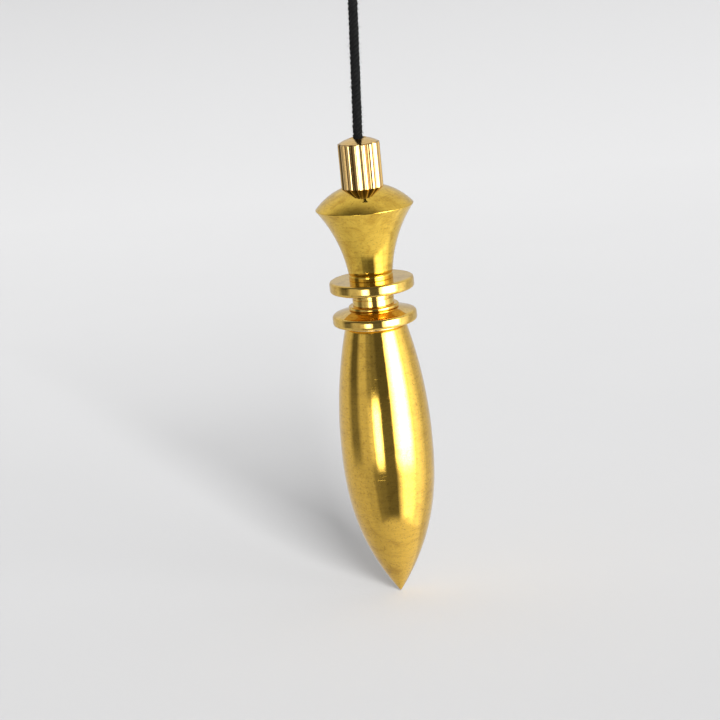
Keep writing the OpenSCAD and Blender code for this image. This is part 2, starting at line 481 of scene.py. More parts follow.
def brass_material(finish: BrassFinish) -> bpy.types.Material:
    """Builds the material of a turned brass surface.

    Args:
        finish: The kind of surface.

    Returns:
        The material.
    """
    material = bpy.data.materials.new(finish.name)
    material.use_nodes = True
    tree = material.node_tree
    nodes, links = tree.nodes, tree.links
    nodes.clear()

    place_frame = nodes.new("NodeFrame")
    place_frame.label = "Place on the turned piece"
    marks_frame = nodes.new("NodeFrame")
    marks_frame.label = "Turning marks"
    stain_frame = nodes.new("NodeFrame")
    stain_frame.label = "Stains and tarnish"
    speck_frame = nodes.new("NodeFrame")
    speck_frame.label = "Specks and scratches"
    colour_frame = nodes.new("NodeFrame")
    colour_frame.label = "Metal colour"
    gloss_frame = nodes.new("NodeFrame")
    gloss_frame.label = "Gloss"
    relief_frame = nodes.new("NodeFrame")
    relief_frame.label = "Relief"

    place = nodes.new("ShaderNodeTexCoord")
    place.label = "Place from the bob's point"
    place.location = (-1800, 200)
    place.parent = place_frame
    split = nodes.new("ShaderNodeSeparateXYZ")
    split.label = "Across and up"
    split.location = (-1600, 200)
    split.parent = place_frame
    flat = nodes.new("ShaderNodeCombineXYZ")
    flat.label = "Distance vector from the axis"
    flat.location = (-1420, 320)
    flat.parent = place_frame
    radius = nodes.new("ShaderNodeVectorMath")
    radius.label = "Radius"
    radius.operation = "LENGTH"
    radius.location = (-1240, 320)
    radius.parent = place_frame
    angle = nodes.new("ShaderNodeMath")
    angle.label = "Angle round the axis"
    angle.operation = "ARCTAN2"
    angle.location = (-1420, 120)
    angle.parent = place_frame
    slow_angle = nodes.new("ShaderNodeMath")
    slow_angle.label = "Marks change slowly round the axis"
    slow_angle.operation = "MULTIPLY"
    slow_angle.location = (-1240, 120)
    slow_angle.parent = place_frame
    lathe_place = nodes.new("ShaderNodeCombineXYZ")
    lathe_place.label = "Radius, height and angle"
    lathe_place.location = (-1060, 220)
    lathe_place.parent = place_frame

    marks = nodes.new("ShaderNodeTexNoise")
    marks.label = "Fine turning lines"
    marks.location = (-820, 520)
    marks.parent = marks_frame
    bands = nodes.new("ShaderNodeTexNoise")
    bands.label = "Broad bands left by the tool"
    bands.location = (-820, 300)
    bands.parent = marks_frame
    marks_mix = nodes.new("ShaderNodeMix")
    marks_mix.label = "Lines over bands"
    marks_mix.location = (-600, 420)
    marks_mix.parent = marks_frame

    stains = nodes.new("ShaderNodeTexNoise")
    stains.label = "Cloudy stains"
    stains.location = (-820, 40)
    stains.parent = stain_frame
    stain_edge = nodes.new("ShaderNodeMapRange")
    stain_edge.label = "Stain outline"
    stain_edge.location = (-600, 40)
    stain_edge.parent = stain_frame
    # Darker and duller towards the point, in patches
    darkening = nodes.new("ShaderNodeMapRange")
    darkening.label = "Darkening towards the point"
    darkening.location = (-820, -220)
    darkening.parent = stain_frame
    darkening_patch = nodes.new("ShaderNodeMath")
    darkening_patch.label = "Darkening comes in patches"
    darkening_patch.operation = "MULTIPLY"
    darkening_patch.location = (-600, -220)
    darkening_patch.parent = stain_frame
    dullness = nodes.new("ShaderNodeMath")
    dullness.label = "Stains and tarnish together"
    dullness.operation = "ADD"
    dullness.use_clamp = True
    dullness.location = (-400, -80)
    dullness.parent = stain_frame

    stretch = nodes.new("ShaderNodeMapping")
    stretch.label = "Draws marks out round the axis"
    stretch.location = (-1060, -220)
    stretch.parent = stain_frame
    smears = nodes.new("ShaderNodeTexNoise")
    smears.label = "Smears along the turning"
    smears.location = (-820, -340)
    smears.parent = stain_frame
    smear_edge = nodes.new("ShaderNodeMapRange")
    smear_edge.label = "Smear outline"
    smear_edge.location = (-600, -340)
    smear_edge.parent = stain_frame
    all_dull = nodes.new("ShaderNodeMath")
    all_dull.label = "Smears on top"
    all_dull.operation = "ADD"
    all_dull.use_clamp = True
    all_dull.location = (-240, -180)
    all_dull.parent = stain_frame

    specks = nodes.new("ShaderNodeTexNoise")
    specks.label = "Fine dark specks"
    specks.location = (-820, -480)
    specks.parent = speck_frame
    speck_edge = nodes.new("ShaderNodeMapRange")
    speck_edge.label = "Only the strongest specks"
    speck_edge.location = (-600, -480)
    speck_edge.parent = speck_frame
    slant = nodes.new("ShaderNodeMapping")
    slant.label = "Slants and draws out scratches"
    slant.location = (-1060, -760)
    slant.parent = speck_frame
    scratches = nodes.new("ShaderNodeTexNoise")
    scratches.label = "Slanting scratches"
    scratches.location = (-820, -760)
    scratches.parent = speck_frame
    scratch_edge = nodes.new("ShaderNodeMapRange")
    scratch_edge.label = "Thin scratch lines"
    scratch_edge.location = (-600, -760)
    scratch_edge.parent = speck_frame
    flaws = nodes.new("ShaderNodeMath")
    flaws.label = "Specks and scratches together"
    flaws.operation = "MAXIMUM"
    flaws.location = (-400, -600)
    flaws.parent = speck_frame

    # Painted shade: dark brown is mixed in from the rim of the flutes down to their floor, standing in for
    # the shade that falls in the valleys
    groove = nodes.new("ShaderNodeMapRange")
    groove.label = "Painted shade fills the grooves"
    groove.interpolation_type = "SMOOTHSTEP"
    groove.location = (-600, -1000)
    groove.parent = speck_frame
    groove_floor = nodes.new("ShaderNodeMath")
    groove_floor.label = "Only on the grooved wall"
    groove_floor.operation = "GREATER_THAN"
    groove_floor.location = (-600, -1240)
    groove_floor.parent = speck_frame
    groove_shade = nodes.new("ShaderNodeMath")
    groove_shade.label = "Painted shade in the grooves"
    groove_shade.operation = "MULTIPLY"
    groove_shade.location = (-400, -1000)
    groove_shade.parent = speck_frame
    flaws_and_groove_shade = nodes.new("ShaderNodeMath")
    flaws_and_groove_shade.label = "Painted groove shade over flaws"
    flaws_and_groove_shade.operation = "MAXIMUM"
    flaws_and_groove_shade.location = (-220, -760)
    flaws_and_groove_shade.parent = speck_frame

    tone = nodes.new("ShaderNodeMix")
    tone.label = "Clean to dull metal"
    tone.data_type = "RGBA"
    tone.location = (-160, 420)
    tone.parent = colour_frame
    flaw_and_shade_tone = nodes.new("ShaderNodeMix")
    flaw_and_shade_tone.label = "Darker at flaws and painted groove shade"
    flaw_and_shade_tone.data_type = "RGBA"
    flaw_and_shade_tone.location = (40, 420)
    flaw_and_shade_tone.parent = colour_frame

    gloss_marks = nodes.new("ShaderNodeMath")
    gloss_marks.label = "Marks roughen"
    gloss_marks.operation = "MULTIPLY_ADD"
    gloss_marks.location = (-160, 60)
    gloss_marks.parent = gloss_frame
    gloss_dull = nodes.new("ShaderNodeMath")
    gloss_dull.label = "Stains and tarnish roughen"
    gloss_dull.operation = "MULTIPLY_ADD"
    gloss_dull.use_clamp = True
    gloss_dull.location = (40, 60)
    gloss_dull.parent = gloss_frame

    ripple = nodes.new("ShaderNodeTexNoise")
    ripple.label = "Slow ripple in the polish"
    ripple.location = (-160, -260)
    ripple.parent = relief_frame
    ripple_bump = nodes.new("ShaderNodeBump")
    ripple_bump.label = "Ripple relief"
    ripple_bump.location = (40, -260)
    ripple_bump.parent = relief_frame
    mark_bump = nodes.new("ShaderNodeBump")
    mark_bump.label = "Turning mark relief"
    mark_bump.location = (220, -260)
    mark_bump.parent = relief_frame
    flaw_bump = nodes.new("ShaderNodeBump")
    flaw_bump.label = "Flaws are cut in"
    flaw_bump.invert = True
    flaw_bump.location = (400, -260)
    flaw_bump.parent = relief_frame

    grain = nodes.new("ShaderNodeTangent")
    grain.label = "Brushing runs round the axis"
    grain.location = (400, -520)
    metal = nodes.new("ShaderNodeBsdfPrincipled")
    metal.label = "Brass"
    metal.location = (640, 200)
    output = nodes.new("ShaderNodeOutputMaterial")
    output.label = "Surface"
    output.location = (940, 200)

    slow_angle.inputs[1].default_value = 0.0004
    marks.inputs["Scale"].default_value = finish.marks_per_mm / MM
    marks.inputs["Detail"].default_value = 3.0
    marks.inputs["Roughness"].default_value = 0.6
    bands.inputs["Scale"].default_value = 900.0
    bands.inputs["Detail"].default_value = 2.0
    marks_mix.inputs["Factor"].default_value = 0.35
    stains.inputs["Scale"].default_value = 380.0
    stains.inputs["Detail"].default_value = 7.0
    stains.inputs["Roughness"].default_value = 0.62
    stains.inputs["Distortion"].default_value = 0.6
    stain_edge.inputs["From Min"].default_value = 0.66 - 0.3 * finish.stain
    stain_edge.inputs["From Max"].default_value = 0.82 - 0.2 * finish.stain
    stain_edge.inputs["To Max"].default_value = 0.85 * finish.stain
    darkening.inputs["From Min"].default_value = finish.darkening_from
    darkening.inputs["From Max"].default_value = finish.darkening_to
    specks.inputs["Scale"].default_value = 2200.0
    specks.inputs["Detail"].default_value = 4.0
    specks.inputs["Roughness"].default_value = 0.7
    speck_edge.inputs["From Min"].default_value = 0.54
    speck_edge.inputs["From Max"].default_value = 0.72
    speck_edge.inputs["To Max"].default_value = finish.speckle
    slant.inputs["Rotation"].default_value = (0.5, 0.35, 0.0)
    slant.inputs["Scale"].default_value = (420.0, 420.0, 9000.0)
    scratches.inputs["Scale"].default_value = 1.0
    scratches.inputs["Detail"].default_value = 1.0
    scratch_edge.inputs["From Min"].default_value = 0.68
    scratch_edge.inputs["From Max"].default_value = 0.74
    scratch_edge.inputs["To Max"].default_value = finish.scratch
    groove.inputs["From Min"].default_value = finish.groove_shade_rim
    groove.inputs["From Max"].default_value = finish.groove_shade_floor
    groove.inputs["To Max"].default_value = finish.groove_shade
    groove_floor.inputs[1].default_value = finish.groove_shade_floor - 0.00004
    stretch.inputs["Scale"].default_value = (300.0, 300.0, 1500.0)
    smears.inputs["Scale"].default_value = 1.0
    smears.inputs["Detail"].default_value = 4.0
    smears.inputs["Roughness"].default_value = 0.65
    smear_edge.inputs["From Min"].default_value = 0.47
    smear_edge.inputs["From Max"].default_value = 0.72
    smear_edge.inputs["To Max"].default_value = finish.smear
    tone.inputs[6].default_value = (*finish.bright, 1.0)
    tone.inputs[7].default_value = (*finish.dull, 1.0)
    flaw_and_shade_tone.inputs[7].default_value = (*(0.35 * c for c in finish.dull), 1.0)
    gloss_marks.inputs[1].default_value = finish.rough_spread
    gloss_marks.inputs[2].default_value = finish.roughness - 0.5 * finish.rough_spread
    gloss_dull.inputs[1].default_value = finish.dull_rough
    ripple.inputs["Scale"].default_value = 260.0
    ripple.inputs["Detail"].default_value = 1.0
    ripple_bump.inputs["Distance"].default_value = finish.ripple_depth
    mark_bump.inputs["Distance"].default_value = finish.mark_depth
    flaw_bump.inputs["Distance"].default_value = 0.000004
    grain.direction_type = "RADIAL"
    grain.axis = "Z"
    metal.inputs["Metallic"].default_value = 1.0
    metal.inputs["Anisotropic"].default_value = finish.anisotropy
    metal.inputs["Coat Weight"].default_value = finish.lacquer
    metal.inputs["Coat Roughness"].default_value = 0.04

    links.new(place.outputs["Object"], split.inputs["Vector"])
    links.new(split.outputs["X"], flat.inputs["X"])
    links.new(split.outputs["Y"], flat.inputs["Y"])
    links.new(flat.outputs["Vector"], radius.inputs[0])
    links.new(split.outputs["Y"], angle.inputs[0])
    links.new(split.outputs["X"], angle.inputs[1])
    links.new(angle.outputs["Value"], slow_angle.inputs[0])
    links.new(radius.outputs["Value"], lathe_place.inputs["X"])
    links.new(split.outputs["Z"], lathe_place.inputs["Y"])
    links.new(slow_angle.outputs["Value"], lathe_place.inputs["Z"])
    links.new(lathe_place.outputs["Vector"], marks.inputs["Vector"])
    links.new(lathe_place.outputs["Vector"], bands.inputs["Vector"])
    links.new(marks.outputs["Fac"], marks_mix.inputs["A"])
    links.new(bands.outputs["Fac"], marks_mix.inputs["B"])
    links.new(place.outputs["Object"], stains.inputs["Vector"])
    links.new(stains.outputs["Fac"], stain_edge.inputs["Value"])
    links.new(split.outputs["Z"], darkening.inputs["Value"])
    links.new(darkening.outputs["Result"], darkening_patch.inputs[0])
    links.new(stains.outputs["Fac"], darkening_patch.inputs[1])
    links.new(stain_edge.outputs["Result"], dullness.inputs[0])
    links.new(darkening_patch.outputs["Value"], dullness.inputs[1])
    links.new(place.outputs["Object"], specks.inputs["Vector"])
    links.new(specks.outputs["Fac"], speck_edge.inputs["Value"])
    links.new(place.outputs["Object"], slant.inputs["Vector"])
    links.new(slant.outputs["Vector"], scratches.inputs["Vector"])
    links.new(scratches.outputs["Fac"], scratch_edge.inputs["Value"])
    links.new(place.outputs["Object"], stretch.inputs["Vector"])
    links.new(stretch.outputs["Vector"], smears.inputs["Vector"])
    links.new(smears.outputs["Fac"], smear_edge.inputs["Value"])
    links.new(dullness.outputs["Value"], all_dull.inputs[0])
    links.new(smear_edge.outputs["Result"], all_dull.inputs[1])
    links.new(speck_edge.outputs["Result"], flaws.inputs[0])
    links.new(scratch_edge.outputs["Result"], flaws.inputs[1])
    links.new(all_dull.outputs["Value"], tone.inputs["Factor"])
    links.new(tone.outputs[2], flaw_and_shade_tone.inputs[6])
    links.new(radius.outputs["Value"], groove.inputs["Value"])
    links.new(radius.outputs["Value"], groove_floor.inputs[0])
    links.new(groove.outputs["Result"], groove_shade.inputs[0])
    links.new(groove_floor.outputs["Value"], groove_shade.inputs[1])
    links.new(flaws.outputs["Value"], flaws_and_groove_shade.inputs[0])
    links.new(groove_shade.outputs["Value"], flaws_and_groove_shade.inputs[1])
    links.new(flaws_and_groove_shade.outputs["Value"], flaw_and_shade_tone.inputs["Factor"])
    links.new(marks_mix.outputs["Result"], gloss_marks.inputs[0])
    links.new(all_dull.outputs["Value"], gloss_dull.inputs[0])
    links.new(gloss_marks.outputs["Value"], gloss_dull.inputs[2])
    links.new(place.outputs["Object"], ripple.inputs["Vector"])
    links.new(ripple.outputs["Fac"], ripple_bump.inputs["Height"])
    links.new(marks_mix.outputs["Result"], mark_bump.inputs["Height"])
    links.new(ripple_bump.outputs["Normal"], mark_bump.inputs["Normal"])
    links.new(flaws.outputs["Value"], flaw_bump.inputs["Height"])
    links.new(mark_bump.outputs["Normal"], flaw_bump.inputs["Normal"])
    links.new(flaw_and_shade_tone.outputs[2], metal.inputs["Base Color"])
    links.new(gloss_dull.outputs["Value"], metal.inputs["Roughness"])
    links.new(flaw_bump.outputs["Normal"], metal.inputs["Normal"])
    links.new(grain.outputs["Tangent"], metal.inputs["Tangent"])
    links.new(metal.outputs["BSDF"], output.inputs["Surface"])
    return material


@dataclass(frozen=True)
class CottonFinish:
    """How dyed cotton looks.

    Attributes:
        name: Name of the material.
        dark: Colour between the fibres, a painted shade where the fibres' relief is low.
        light: Colour of the fibres that catch light.
        sheen: Weight of the fibres' sheen.
        yarn_scale: Scale of the yarn's streaks.
    """

    name: str
    dark: tuple[float, float, float]
    light: tuple[float, float, float]
    sheen: float
    yarn_scale: float


def cotton_material(finish: CottonFinish) -> bpy.types.Material:
    """Builds the material of dyed twisted cotton.

    Args:
        finish: The kind of cotton.

    Returns:
        The material.
    """
    material = bpy.data.materials.new(finish.name)
    material.use_nodes = True
    tree = material.node_tree
    nodes, links = tree.nodes, tree.links
    nodes.clear()

    fibre_frame = nodes.new("NodeFrame")
    fibre_frame.label = "Fibres"
    surface_frame = nodes.new("NodeFrame")
    surface_frame.label = "Dyed surface"

    place = nodes.new("ShaderNodeTexCoord")
    place.label = "Place on the cord"
    place.location = (-900, 100)
    place.parent = fibre_frame
    fibres = nodes.new("ShaderNodeTexNoise")
    fibres.label = "Fibre streaks"
    fibres.location = (-700, 200)
    fibres.parent = fibre_frame
    wear = nodes.new("ShaderNodeTexNoise")
    wear.label = "Faded stretches"
    wear.location = (-700, -60)
    wear.parent = fibre_frame
    together = nodes.new("ShaderNodeMath")
    together.label = "Streaks and fading"
    together.operation = "MULTIPLY"
    together.location = (-500, 80)
    together.parent = fibre_frame
    # Painted highlight and shade: the fibre streaks that raise the relief also lighten the colour, so
    # raised fibres look lit and the gaps between them look shaded; the faded stretches are real wear
    fibre_light_and_fading = nodes.new("ShaderNodeMix")
    fibre_light_and_fading.label = "Painted fibre highlight and shade, with faded stretches"
    fibre_light_and_fading.data_type = "RGBA"
    fibre_light_and_fading.location = (-260, 140)
    fibre_light_and_fading.parent = surface_frame
    relief = nodes.new("ShaderNodeBump")
    relief.label = "Fibre relief"
    relief.location = (-260, -140)
    relief.parent = surface_frame
    cloth = nodes.new("ShaderNodeBsdfPrincipled")
    cloth.label = "Cotton"
    cloth.location = (0, 100)
    cloth.parent = surface_frame
    output = nodes.new("ShaderNodeOutputMaterial")
    output.label = "Surface"
    output.location = (300, 100)

    fibres.inputs["Scale"].default_value = finish.yarn_scale
    fibres.inputs["Detail"].default_value = 5.0
    fibres.inputs["Roughness"].default_value = 0.7
    wear.inputs["Scale"].default_value = 420.0
    wear.inputs["Detail"].default_value = 2.0
    fibre_light_and_fading.inputs[6].default_value = (*finish.dark, 1.0)
    fibre_light_and_fading.inputs[7].default_value = (*finish.light, 1.0)
    relief.inputs["Distance"].default_value = 0.00008
    relief.inputs["Strength"].default_value = 0.9
    cloth.inputs["Roughness"].default_value = 0.92
    cloth.inputs["Specular IOR Level"].default_value = 0.15
    cloth.inputs["Sheen Weight"].default_value = finish.sheen
    cloth.inputs["Sheen Roughness"].default_value = 0.5

    links.new(place.outputs["Object"], fibres.inputs["Vector"])
    links.new(place.outputs["Object"], wear.inputs["Vector"])
    links.new(fibres.outputs["Fac"], together.inputs[0])
    links.new(wear.outputs["Fac"], together.inputs[1])
    links.new(together.outputs["Value"], fibre_light_and_fading.inputs["Factor"])
    links.new(fibres.outputs["Fac"], relief.inputs["Height"])
    links.new(fibre_light_and_fading.outputs[2], cloth.inputs["Base Color"])
    links.new(relief.outputs["Normal"], cloth.inputs["Normal"])
    links.new(cloth.outputs["BSDF"], output.inputs["Surface"])
    return material


@dataclass(frozen=True)
class Palette:
    """Every material of the bob."""

    polished: bpy.types.Material
    collar: bpy.types.Material
    satin: bpy.types.Material
    cap: bpy.types.Material
    pale: bpy.types.Material
    thread: bpy.types.Material
    cotton: bpy.types.Material

    @classmethod
    def mixed(cls) -> "Palette":
        """Builds the materials.

        Returns:
            The palette of the bob.
        """
        body = BrassFinish(
            "brass_polished_body",
            bright=(0.95, 0.59, 0.085),
            dull=(0.55, 0.31, 0.04),
            roughness=0.022,
            rough_spread=0.025,
            mark_depth=0.0000007,
            marks_per_mm=5.0,
            ripple_depth=0.00003,
            stain=0.5,
            speckle=0.5,
            scratch=0.35,
            smear=0.25,
            dull_rough=0.12,
            darkening_from=0.032,
            darkening_to=0.002,
            lacquer=0.45,
        )
        collar = BrassFinish(
            "brass_polished_collar",
            bright=(0.9, 0.6, 0.14),
            dull=(0.55, 0.31, 0.06),
            roughness=0.04,
            rough_spread=0.03,
            mark_depth=0.0000007,
            ripple_depth=0.00002,
            stain=0.6,
            speckle=0.5,
            smear=0.25,
            scratch=0.2,
            dull_rough=0.12,
            lacquer=0.1,
        )
        satin = BrassFinish(
            "brass_satin_head",
            bright=(0.93, 0.61, 0.09),
            dull=(0.55, 0.3, 0.03),
            roughness=0.025,
            rough_spread=0.03,
            mark_depth=0.0000009,
            marks_per_mm=7.0,
            ripple_depth=0.00001,
            stain=0.7,
            speckle=0.45,
            scratch=0.3,
            smear=0.3,
            dull_rough=0.05,
            lacquer=0.1,
        )
        cap = BrassFinish(
            "brass_fluted_cap",
            bright=(0.88, 0.6, 0.24),
            dull=(0.6, 0.36, 0.12),
            roughness=0.09,
            rough_spread=0.05,
            mark_depth=0.000001,
            ripple_depth=0.000006,
            stain=0.35,
            speckle=0.4,
            scratch=0.1,
            smear=0.25,
            # Painted shade darkens the flute valleys
            groove_shade=0.85,
            groove_shade_floor=0.00366,
            groove_shade_rim=0.00397,
        )
        pale = BrassFinish(
            "brass_pale_washer",
            bright=(0.9, 0.7, 0.32),
            dull=(0.72, 0.5, 0.18),
            roughness=0.3,
            rough_spread=0.08,
            mark_depth=0.000002,
        )
        thread = BrassFinish(
            "brass_cut_thread",
            bright=(0.78, 0.52, 0.16),
            dull=(0.5, 0.3, 0.08),
            roughness=0.26,
            rough_spread=0.1,
            mark_depth=0.000003,
            stain=0.5,
        )
        cotton = CottonFinish(
            "cotton_black",
            dark=(0.002, 0.002, 0.002),
            light=(0.012, 0.012, 0.012),
            sheen=0.03,
            yarn_scale=5200.0,
        )
        return cls(
            polished=brass_material(body),
            collar=brass_material(collar),
            satin=brass_material(satin),
            cap=brass_material(cap),
            pale=brass_material(pale),
            thread=brass_material(thread),
            cotton=cotton_material(cotton),
        )


# ---------------------------------------------------------------------------
# Brass pieces
# ---------------------------------------------------------------------------


@dataclass
class BobBody:
    """The pointed body with its chamber.

    Attributes:
        belly_height: Height of the belly above the point.
        point_power: Fullness of the point, as the power of its curve.
        top_radius: Radius at the flat top.
        edge: Width of the bevel at the top edge.
        chamber_radius: Radius of the chamber.
        chamber_floor: Height of the chamber's floor.
        thread_length: Length of the tapped mouth.
        flank_steps: Number of steps in each half of the flank.
    """

    belly_height: float = 30.0
    point_power: float = 2.45
    top_radius: float = 5.8
    edge: float = 0.15
    chamber_radius: float = 3.5
    chamber_floor: float = 29.0
    thread_length: float = 7.0
    flank_steps: int = 60

    def build(self, datum: Datum) -> bpy.types.Object:
        """Turns the body.

        Args:
            datum: The bob's datum.

        Returns:
            The body.
        """
        _, top, belly = datum.span("bob_body")
        rise = top - self.edge - self.belly_height
        high_r = upright_arc_radius(belly - self.top_radius, rise)
        below = [1 - i / self.flank_steps for i in range(self.flank_steps)]
        low = [
            Corner(belly * (1 - t**self.point_power), self.belly_height * (1 - t)) for t in below
        ]
        high = arc_points(
            (belly - high_r, self.belly_height), high_r, 0.0, math.asin(rise / high_r), self.flank_steps
        )
        thread = Thread(top - self.thread_length, top - 0.3, self.chamber_radius, depth=-0.25)
        outline = low + high
        outline += [
            Corner(self.top_radius - self.edge, top, 0.05),
            Corner(self.chamber_radius, top, 0.08),
        ]
        outline += thread.corners(upwards=False)
        outline += [Corner(self.chamber_radius, self.chamber_floor, 0.3), Corner(0.0, self.chamber_floor)]
        return turned("bob_body_turned", datum, outline, 192, with_threads(thread))

    def finish(self, datum: Datum, palette: Palette) -> None:
        """Builds and dresses the body.

        Args:
            datum: The bob's datum.
            palette: The bob's materials.
        """
        dress(self.build(datum), palette.polished, Body.BOB, Slot.POLISHED, "bob_body")


@dataclass
class Collars:
    """The washer, both collars and what is between them.

    Attributes:
        rim_round: Rounding of the collar rims.
        plug_length: Length of the screwed plug below the lower collar.
        plug_radius: Radius of the plug.
        bore_radius: Radius of the hole for the stud.
        rise: Rise of the lower collar's conical top.
        groove_width: Width of the groove round the neck.
        groove_depth: Depth of that groove.
        stud_pitch: Pitch of the stud's thread.
        washer_bore: Radius of the washer's hole.
    """

    rim_round: float = 0.55
    plug_length: float = 6.0
    plug_radius: float = 3.45
    bore_radius: float = 2.05
    rise: float = 0.8
    groove_width: float = 0.3
    groove_depth: float = 0.15
    stud_pitch: float = 0.7
    washer_bore: float = 3.5

    def washer(self, datum: Datum) -> bpy.types.Object:
        """Turns the thin seat washer, just clear of both faces it lies between."""
        low, high, radius = datum.span("seat_washer")
        low, high = low + CONTACT_GAP, high - CONTACT_GAP
        outline = [
            Corner(self.washer_bore, low, 0.05),
            Corner(radius, low, 0.12),
            Corner(radius, high, 0.12),
            Corner(self.washer_bore, high, 0.05),
        ]
        return turned("seat_washer_turned", datum, outline)

    def lower(self, datum: Datum) -> bpy.types.Object:
        """Turns the lower collar with its plug.

        Args:
            datum: The bob's datum.

        Returns:
            The lower collar.
        """
        low, high, radius = datum.span("lower_collar")
        _, _, ring_radius = datum.span("neck_ring")
        seat = low + self.plug_length
        rim = high - self.rise
        stud_low, _, _ = datum.span("neck_stud")
        thread = Thread(low + 0.3, seat - 0.4, self.plug_radius)
        outline = [Corner(0.0, low), Corner(self.plug_radius - 0.5, low, 0.05)]
        outline += thread.corners(upwards=True)
        outline += [
            Corner(self.plug_radius, seat, 0.05),
            Corner(radius, seat, self.rim_round),
            Corner(radius, rim, self.rim_round),
            Corner(ring_radius, high, 0.1),
            Corner(self.bore_radius, high, 0.05),
            Corner(self.bore_radius, stud_low, 0.05),
            Corner(0.0, stud_low),
        ]
        return turned("lower_collar_turned", datum, outline, 192, with_threads(thread))

    def upper(self, datum: Datum) -> bpy.types.Object:
        """Turns the upper collar."""
        low, high, radius = datum.span("upper_collar")
        outline = [
            Corner(self.bore_radius, low, 0.05),
            Corner(radius, low, self.rim_round),
            Corner(radius, high, self.rim_round),
            Corner(self.bore_radius, high, 0.05),
        ]
        return turned("upper_collar_turned", datum, outline, 192)

    def ring(self, datum: Datum) -> bpy.types.Object:
        """Turns the ring round the neck."""
        low, high, radius = datum.span("neck_ring")
        soft = 0.48 * (high - low)
        outline = [
            Corner(self.bore_radius, low, 0.03),
            Corner(radius, low, soft),
            Corner(radius, high, soft),
            Corner(self.bore_radius, high, 0.03),
        ]
        return turned("neck_ring_turned", datum, outline)

    def sleeve(self, datum: Datum) -> bpy.types.Object:
        """Turns the neck sleeve with its groove."""
        low, high, radius = datum.span("neck_sleeve")
        middle = (low + high) / 2
        half = self.groove_width / 2
        outline = [
            Corner(self.bore_radius, low, 0.03),
            Corner(radius, low, 0.08),
            Corner(radius, middle - half, 0.05),
            Corner(radius - self.groove_depth, middle - half, 0.05),
            Corner(radius - self.groove_depth, middle + half, 0.05),
            Corner(radius, middle + half, 0.05),
            Corner(radius, high, 0.08),
            Corner(self.bore_radius, high, 0.03),
        ]
        return turned("neck_sleeve_turned", datum, outline)

    def stud(self, datum: Datum) -> bpy.types.Object:
        """Turns the screwed stud."""
        low, high, radius = datum.span("neck_stud")
        thread = Thread(low + 0.3, high - 0.3, radius, pitch=self.stud_pitch, depth=0.2)
        outline = [Corner(0.0, low), Corner(radius - 0.35, low, 0.05)]
        outline += thread.corners(upwards=True)
        outline += [Corner(radius - 0.35, high, 0.05), Corner(0.0, high)]
        return turned("neck_stud_turned", datum, outline, 64, with_threads(thread))

    def finish(self, datum: Datum, palette: Palette) -> None:
        """Builds and dresses every piece between the body and the head.

        Args:
            datum: The bob's datum.
            palette: The bob's materials.
        """
        dress(self.washer(datum), palette.pale, Body.WASHER, Slot.PALE, "seat_washer")
        dress(self.lower(datum), palette.collar, Body.UPPER, Slot.COLLAR, "lower_collar")
        dress(self.upper(datum), palette.collar, Body.UPPER, Slot.COLLAR, "upper_collar")
        dress(self.ring(datum), palette.collar, Body.UPPER, Slot.COLLAR, "neck_ring")
        dress(self.sleeve(datum), palette.collar, Body.UPPER, Slot.COLLAR, "neck_sleeve")
        dress(self.stud(datum), palette.thread, Body.UPPER, Slot.THREAD, "neck_stud")


